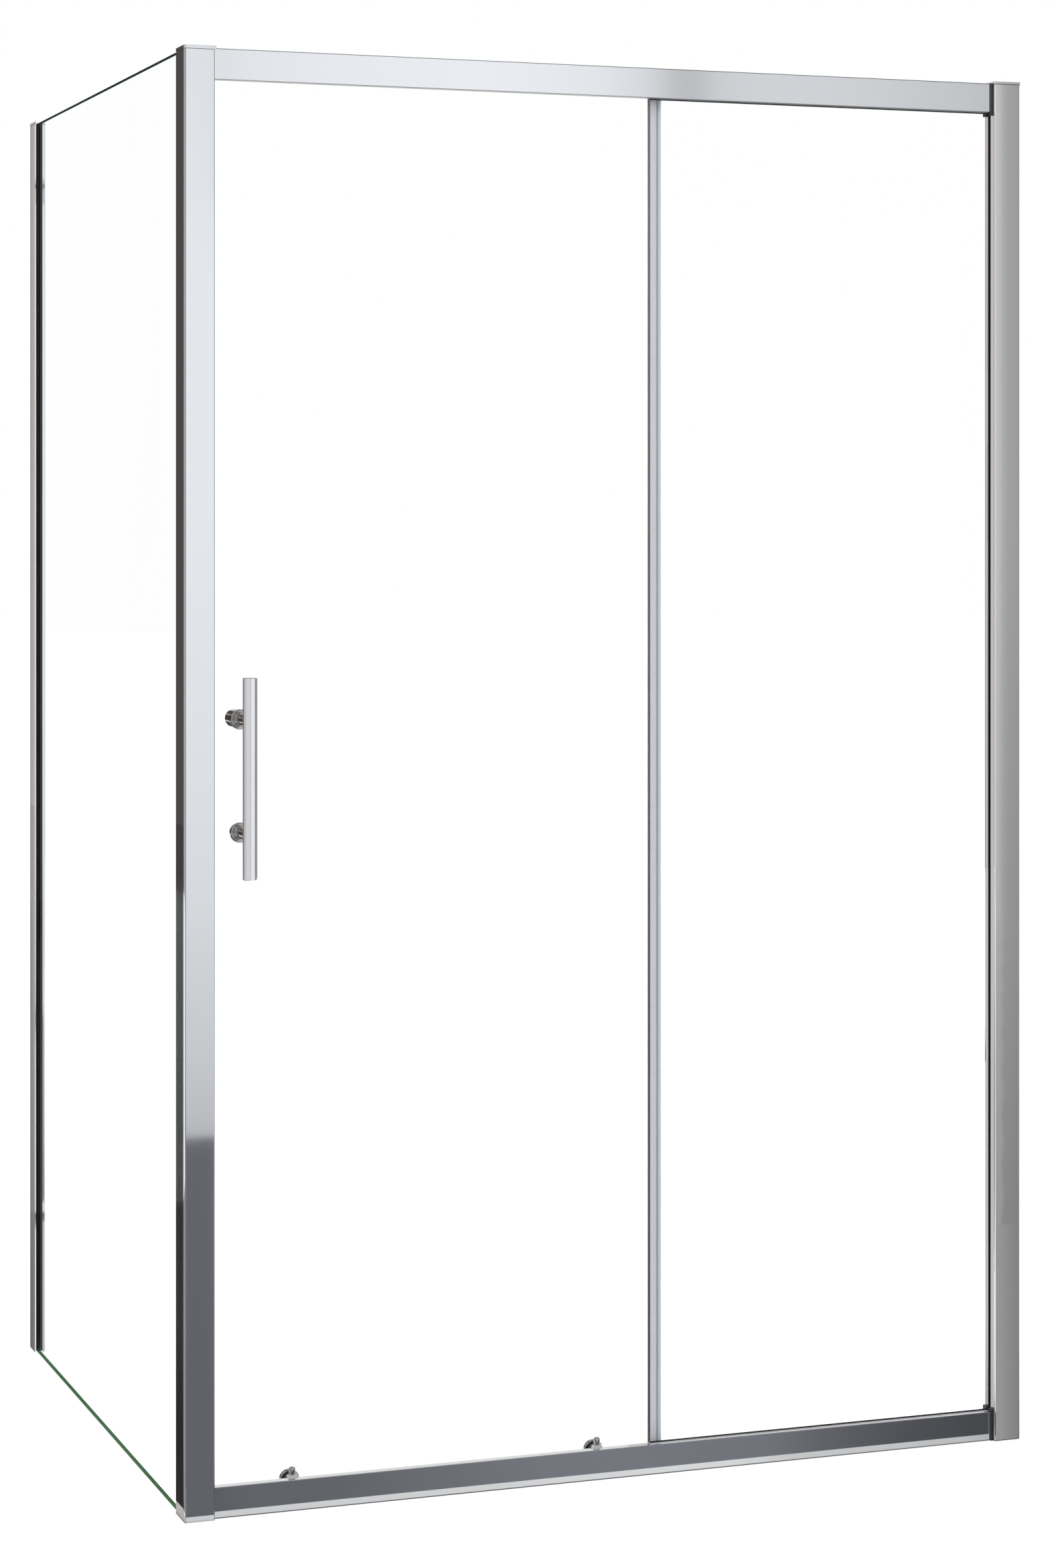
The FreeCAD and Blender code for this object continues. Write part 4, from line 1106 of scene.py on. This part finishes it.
def front_patches() -> list[Patch]:
    """Return what the post, the rails, the jamb and the side profile show at the front."""
    under, low, over = (FLOOR + layer * LAYER for layer in (2, 3, 4))
    return [
        Patch("post_foot", POST, (0.0, over), (0.025, over), plain(cool(0.75)),
              lifts((0.0, 0.72), (0.2, 0.8), (0.45, 1.0))),
        Patch("post_near", POST, (0.025, over), (NEAR_REACH, over), plain(slate(0.15))),
        Patch("post_low", WIDE_POST, (NEAR_REACH, over), (2.63, over), plain(slate(0.15))),
        Patch("post_middle", WIDE_POST, (2.63, over), (POST_WALL, over), plain(cool(0.82)),
              lifts((0.0, 0.74), (0.29, 0.86), (0.66, 0.94), (1.0, 1.0))),
        Patch("post_high", WIDE_POST, (POST_WALL, over), (POST_WALL, CEILING), plain(cool(0.985)),
              lifts((0.0, 0.85), (0.06, 0.89), (0.14, 0.935), (0.32, 1.0), (0.5, 1.0),
                    (0.675, 0.935), (1.0, 0.92))),
        # Painted shade: a dark strip at the rails' foot, seen mirrored.
        Patch("rail_contact", RAIL, (0.0, low), (0.0066, low), plain(grey(0.36))),
        Patch("rail_foot", RAIL, (0.0066, low), (0.0315, low), run(
            grey, (45, 0.70), (202, 0.72), (400, 0.745), (577, 0.78), (760, 0.80),
            (850, 0.67), (1024, 0.64), (1120, 0.58), (1150, 0.52),
        )),
        Patch("rail_low", RAIL, (0.0315, low), (NEAR_REACH, low), run(
            slate, (45, 0.131), (80, 0.146), (202, 0.149), (300, 0.170), (400, 0.190),
            (500, 0.213), (640, 0.215), (760, 0.205), (820, 0.198), (900, 0.146),
            (960, 0.120), (1024, 0.097), (1080, 0.088), (1150, 0.074),
        )),
        Patch("rail_high", RAIL, (FRONT_WALL, HIGH), (FRONT_WALL, CEILING), run(
            cool, (45, 0.86), (80, 0.91), (202, 0.96), (400, 0.99), (500, 0.96), (577, 0.91),
            (640, 0.81), (690, 0.585), (710, 0.58), (745, 0.72), (820, 0.76), (900, 0.75),
            (960, 0.735), (1024, 0.70), (1080, 0.665), (1120, 0.65), (1150, 0.61),
        )),
        # Painted shade: a dark strip at the jamb's foot, seen mirrored.
        Patch("jamb_contact", JAMB, (0.0, over), (0.005, over), plain(grey(0.20))),
        Patch("jamb_near", JAMB, (0.005, over), (NEAR_REACH, over), run(grey, *JAMB_FLOOR)),
        Patch("jamb_low", WIDE_JAMB, (NEAR_REACH, over), (1.3, over), run(grey, *JAMB_FLOOR)),
        Patch("jamb_middle", WIDE_JAMB, (1.3, over), (FRONT_WALL, over), run(
            grey, (1162, 0.50), (1169, 0.49), (1173, 0.385), (1180, 0.375), (1195, 0.35),
        ), lifts((0.0, 0.78), (0.33, 0.87), (1.0, 1.0))),
        Patch("jamb_wall", WIDE_JAMB, (FRONT_WALL, over), (FRONT_WALL, HIGH),
              run(grey, *JAMB_HIGH), lifts((0.0, 0.83), (0.27, 0.9), (0.58, 1.0))),
        Patch("jamb_high", HIGH_JAMB, (FRONT_WALL, HIGH), (FRONT_WALL, CEILING),
              run(grey, *JAMB_HIGH)),
        Patch("side_foot", SIDE, (0.003, under), (0.951, under), plain(grey(0.58))),
        Patch("side_low", SIDE, (0.951, under), (3.48, under), plain(grey(0.23))),
        Patch("side_middle", SIDE, (3.48, under), (7.2, under), plain(grey(0.85)),
              lifts((0.0, 0.7), (1.0, 1.0))),
    ]


def left_patches() -> list[Reflected]:
    """Return what the left faces and the turned pieces show."""
    lowest, under, low = (FLOOR + layer * LAYER for layer in (1, 2, 3))
    return [
        Patch("post_left_foot", POST_LEFT, (0.0, low), (0.0145, low), plain(brown(0.57)),
              lifts((0.0, 0.3), (0.15, 0.7), (0.3, 0.85), (1.0, 1.0))),
        Patch("post_left_low", POST_LEFT, (0.0145, low), (0.25, low), plain(brown(0.052)),
              lifts((0.0, 0.6), (0.12, 0.55), (0.31, 0.42), (1.0, 0.385))),
        Patch("post_left_high", POST_LEFT, (0.25, low), (0.25, 0.8), plain(brown(0.052)),
              lifts((0.0, 0.385), (0.078, 0.38), (0.23, 0.29), (0.54, 0.65), (0.85, 1.0))),
        Card("floor_left", (-7.0, -3.0, lowest), (6.98, 0.0, 0.0), (0.0, 5.0, 0.0),
             plain(grey(0.35))),
        Patch("side_left_low", SIDE_LEFT, (0.0, low), (0.1, low), plain(brown(0.45)),
              lifts((0.0, 0.49), (1.0, 0.5))),
        Patch("side_left_high", SIDE_LEFT, (0.1, low), (0.1, 0.8), plain(brown(0.45)),
              lifts((0.0, 0.5), (0.27, 0.62), (0.68, 0.9), (0.89, 1.0))),
        Patch("jamb_left_low", JAMB_LEFT, (0.0, under), (0.3, under), plain(brown(0.62)),
              lifts((0.0, 0.2), (0.15, 0.84), (0.76, 0.95), (1.0, 0.97))),
        Patch("jamb_left_high", JAMB_LEFT, (0.3, low), (0.3, 0.9), plain(brown(0.62))),
        Card("floor_behind", (-0.33, 3.0, lowest), (1.7, 0.0, 0.0), (-0.95, 4.0, 0.0),
             plain(brown(0.078))),
        Card("ceiling", (-2.0, -1.9, CEILING), (5.0, 0.0, 0.0), (0.0, 3.9, 0.0),
             plain(grey(0.18))),
    ]


WALLS = Surround("studio_walls", (
    (-180.0, brown(0.09)), (-166.2, brown(0.075)), (-165.6, brown(0.55)),
    (-163.2, brown(0.55)), (-162.6, brown(0.075)), (-157.5, brown(0.075)),
    (-156.5, brown(0.62)), (-153.5, brown(0.62)), (-152.8, grey(0.05)),
    (-149.5, grey(0.05)), (-149.0, grey(0.87)), (-142.8, grey(0.87)),
    (-142.3, brown(0.15)), (-123.0, brown(0.25)), (-107.0, brown(0.42)),
    (-93.0, brown(0.60)), (-81.0, brown(0.68)), (-60.0, grey(0.76)),
    (-45.0, cool(0.82)), (-31.0, cool(0.76)), (-20.0, cool(0.71)),
    (-12.5, cool(0.73)), (-3.0, cool(0.80)), (5.0, cool(0.93)), (12.0, grey(1.0)),
    (54.0, grey(1.0)), (63.0, grey(0.4)), (68.0, grey(0.31)), (100.0, grey(0.32)),
    (127.0, grey(0.47)), (150.0, grey(0.8)),
))


@dataclass(frozen=True)
class Lamp:
    """A large soft lamp, which only matt surfaces see. Its place is in the model's metres."""

    name: str
    place: Place
    energy: float
    size: float = 2.4
    aim: Place = (0.0, 0.0, 0.9)

    def build(self) -> None:
        """Make the lamp and turn it towards the enclosure."""
        data = bpy.data.lights.new(self.name, "AREA")
        data.size = self.size
        data.energy = self.energy
        lamp = bpy.data.objects.new(self.name, data)
        lamp.location = self.place
        towards = Vector(self.aim) - lamp.location
        lamp.rotation_euler = towards.to_track_quat("-Z", "Y").to_euler()
        lamp.visible_glossy = False
        lamp.visible_transmission = False
        bpy.context.scene.collection.objects.link(lamp)


@dataclass
class Studio:
    """The camera, the light, the floor and the cards."""

    turn: float = 0.3423
    focal_pixels: float = 5157.6
    image_height: int = 2342
    horizon: float = 754.3
    sensor: float = 36.0
    ambient: float = 0.62
    floor_half: float = 30.0
    floor_tone: float = 0.92
    floor_glow: float = 1.13
    glow_share: float = 0.8
    lamps: tuple[Lamp, ...] = (
        Lamp("key_lamp", (-2.6, -3.2, 3.6), 60.0),
        Lamp("fill_lamp", (3.0, -2.4, 2.8), 30.0),
    )

    def build(self) -> None:
        """Set the studio up."""
        self.make_camera()
        self.make_world()
        self.make_floor()
        for part in (*self.lamps, WALLS, *front_patches(), *left_patches()):
            part.build()
        bpy.context.scene.view_settings.view_transform = "Standard"

    def make_camera(self) -> None:
        """Place the level camera, shifted down so that the uprights stay upright."""
        data = bpy.data.cameras.new("camera")
        data.sensor_width = self.sensor
        data.lens = self.focal_pixels * self.sensor / self.image_height
        data.shift_y = (self.horizon - self.image_height / 2) / self.image_height
        camera = bpy.data.objects.new("camera", data)
        camera.location = DATUM.point(*EYE)
        camera.rotation_euler = (math.pi / 2, 0.0, -self.turn)
        bpy.context.scene.collection.objects.link(camera)
        bpy.context.scene.camera = camera

    def seen(self, shader: Shader) -> Wire:
        """Return 1 for rays that see the background, from the eye, a mirror or a pane."""
        path = shader.node("ShaderNodeLightPath")
        total = Wire(shader, path.outputs["Is Camera Ray"])
        for name in ("Is Glossy Ray", "Is Transmission Ray"):
            total = total + Wire(shader, path.outputs[name])
        return total.at_most(1.0)

    def make_world(self) -> None:
        """Light the object from all round, in front of a white background."""
        world = bpy.data.worlds.new("soft_white")
        shader = Shader(world)
        strength = self.ambient + (1.0 - self.ambient) * self.seen(shader)
        shader.surface("ShaderNodeBackground", {
            "Color": painted(grey(1.0)), "Strength": strength,
        })
        bpy.context.scene.world = world

    def make_floor(self) -> None:
        """Make the pale floor, which is white where nothing shades it."""
        half = self.floor_half
        shape = bmesh.new()
        verts = [
            shape.verts.new((x * half, y * half, FLOOR))
            for x, y in ((-1, -1), (1, -1), (1, 1), (-1, 1))
        ]
        shape.faces.new(verts)
        floor = as_piece("floor", shape)
        shader = Shader(bpy.data.materials.new("pale_floor"))
        matt = shader.wire(
            "ShaderNodeBsdfDiffuse", inputs={"Color": painted(grey(self.floor_tone))}
        )
        glow = shader.wire("ShaderNodeEmission", inputs={
            "Color": painted(grey(1.0)), "Strength": self.floor_glow * self.seen(shader),
        })
        mix = {0: self.glow_share, 1: matt, 2: glow}
        shader.finish(shader.wire("ShaderNodeMixShader", inputs=mix))
        floor.data.materials.append(shader.owner)


def main() -> None:
    """Build everything in order."""
    logging.basicConfig(level=logging.INFO, format="%(name)s: %(message)s")
    for part in (
        CornerPost(), Rails(), Jamb(), SidePanel(), Door(), Handle(), Running(), Studio(),
    ):
        part.build()


if __name__ == "__main__":
    main()
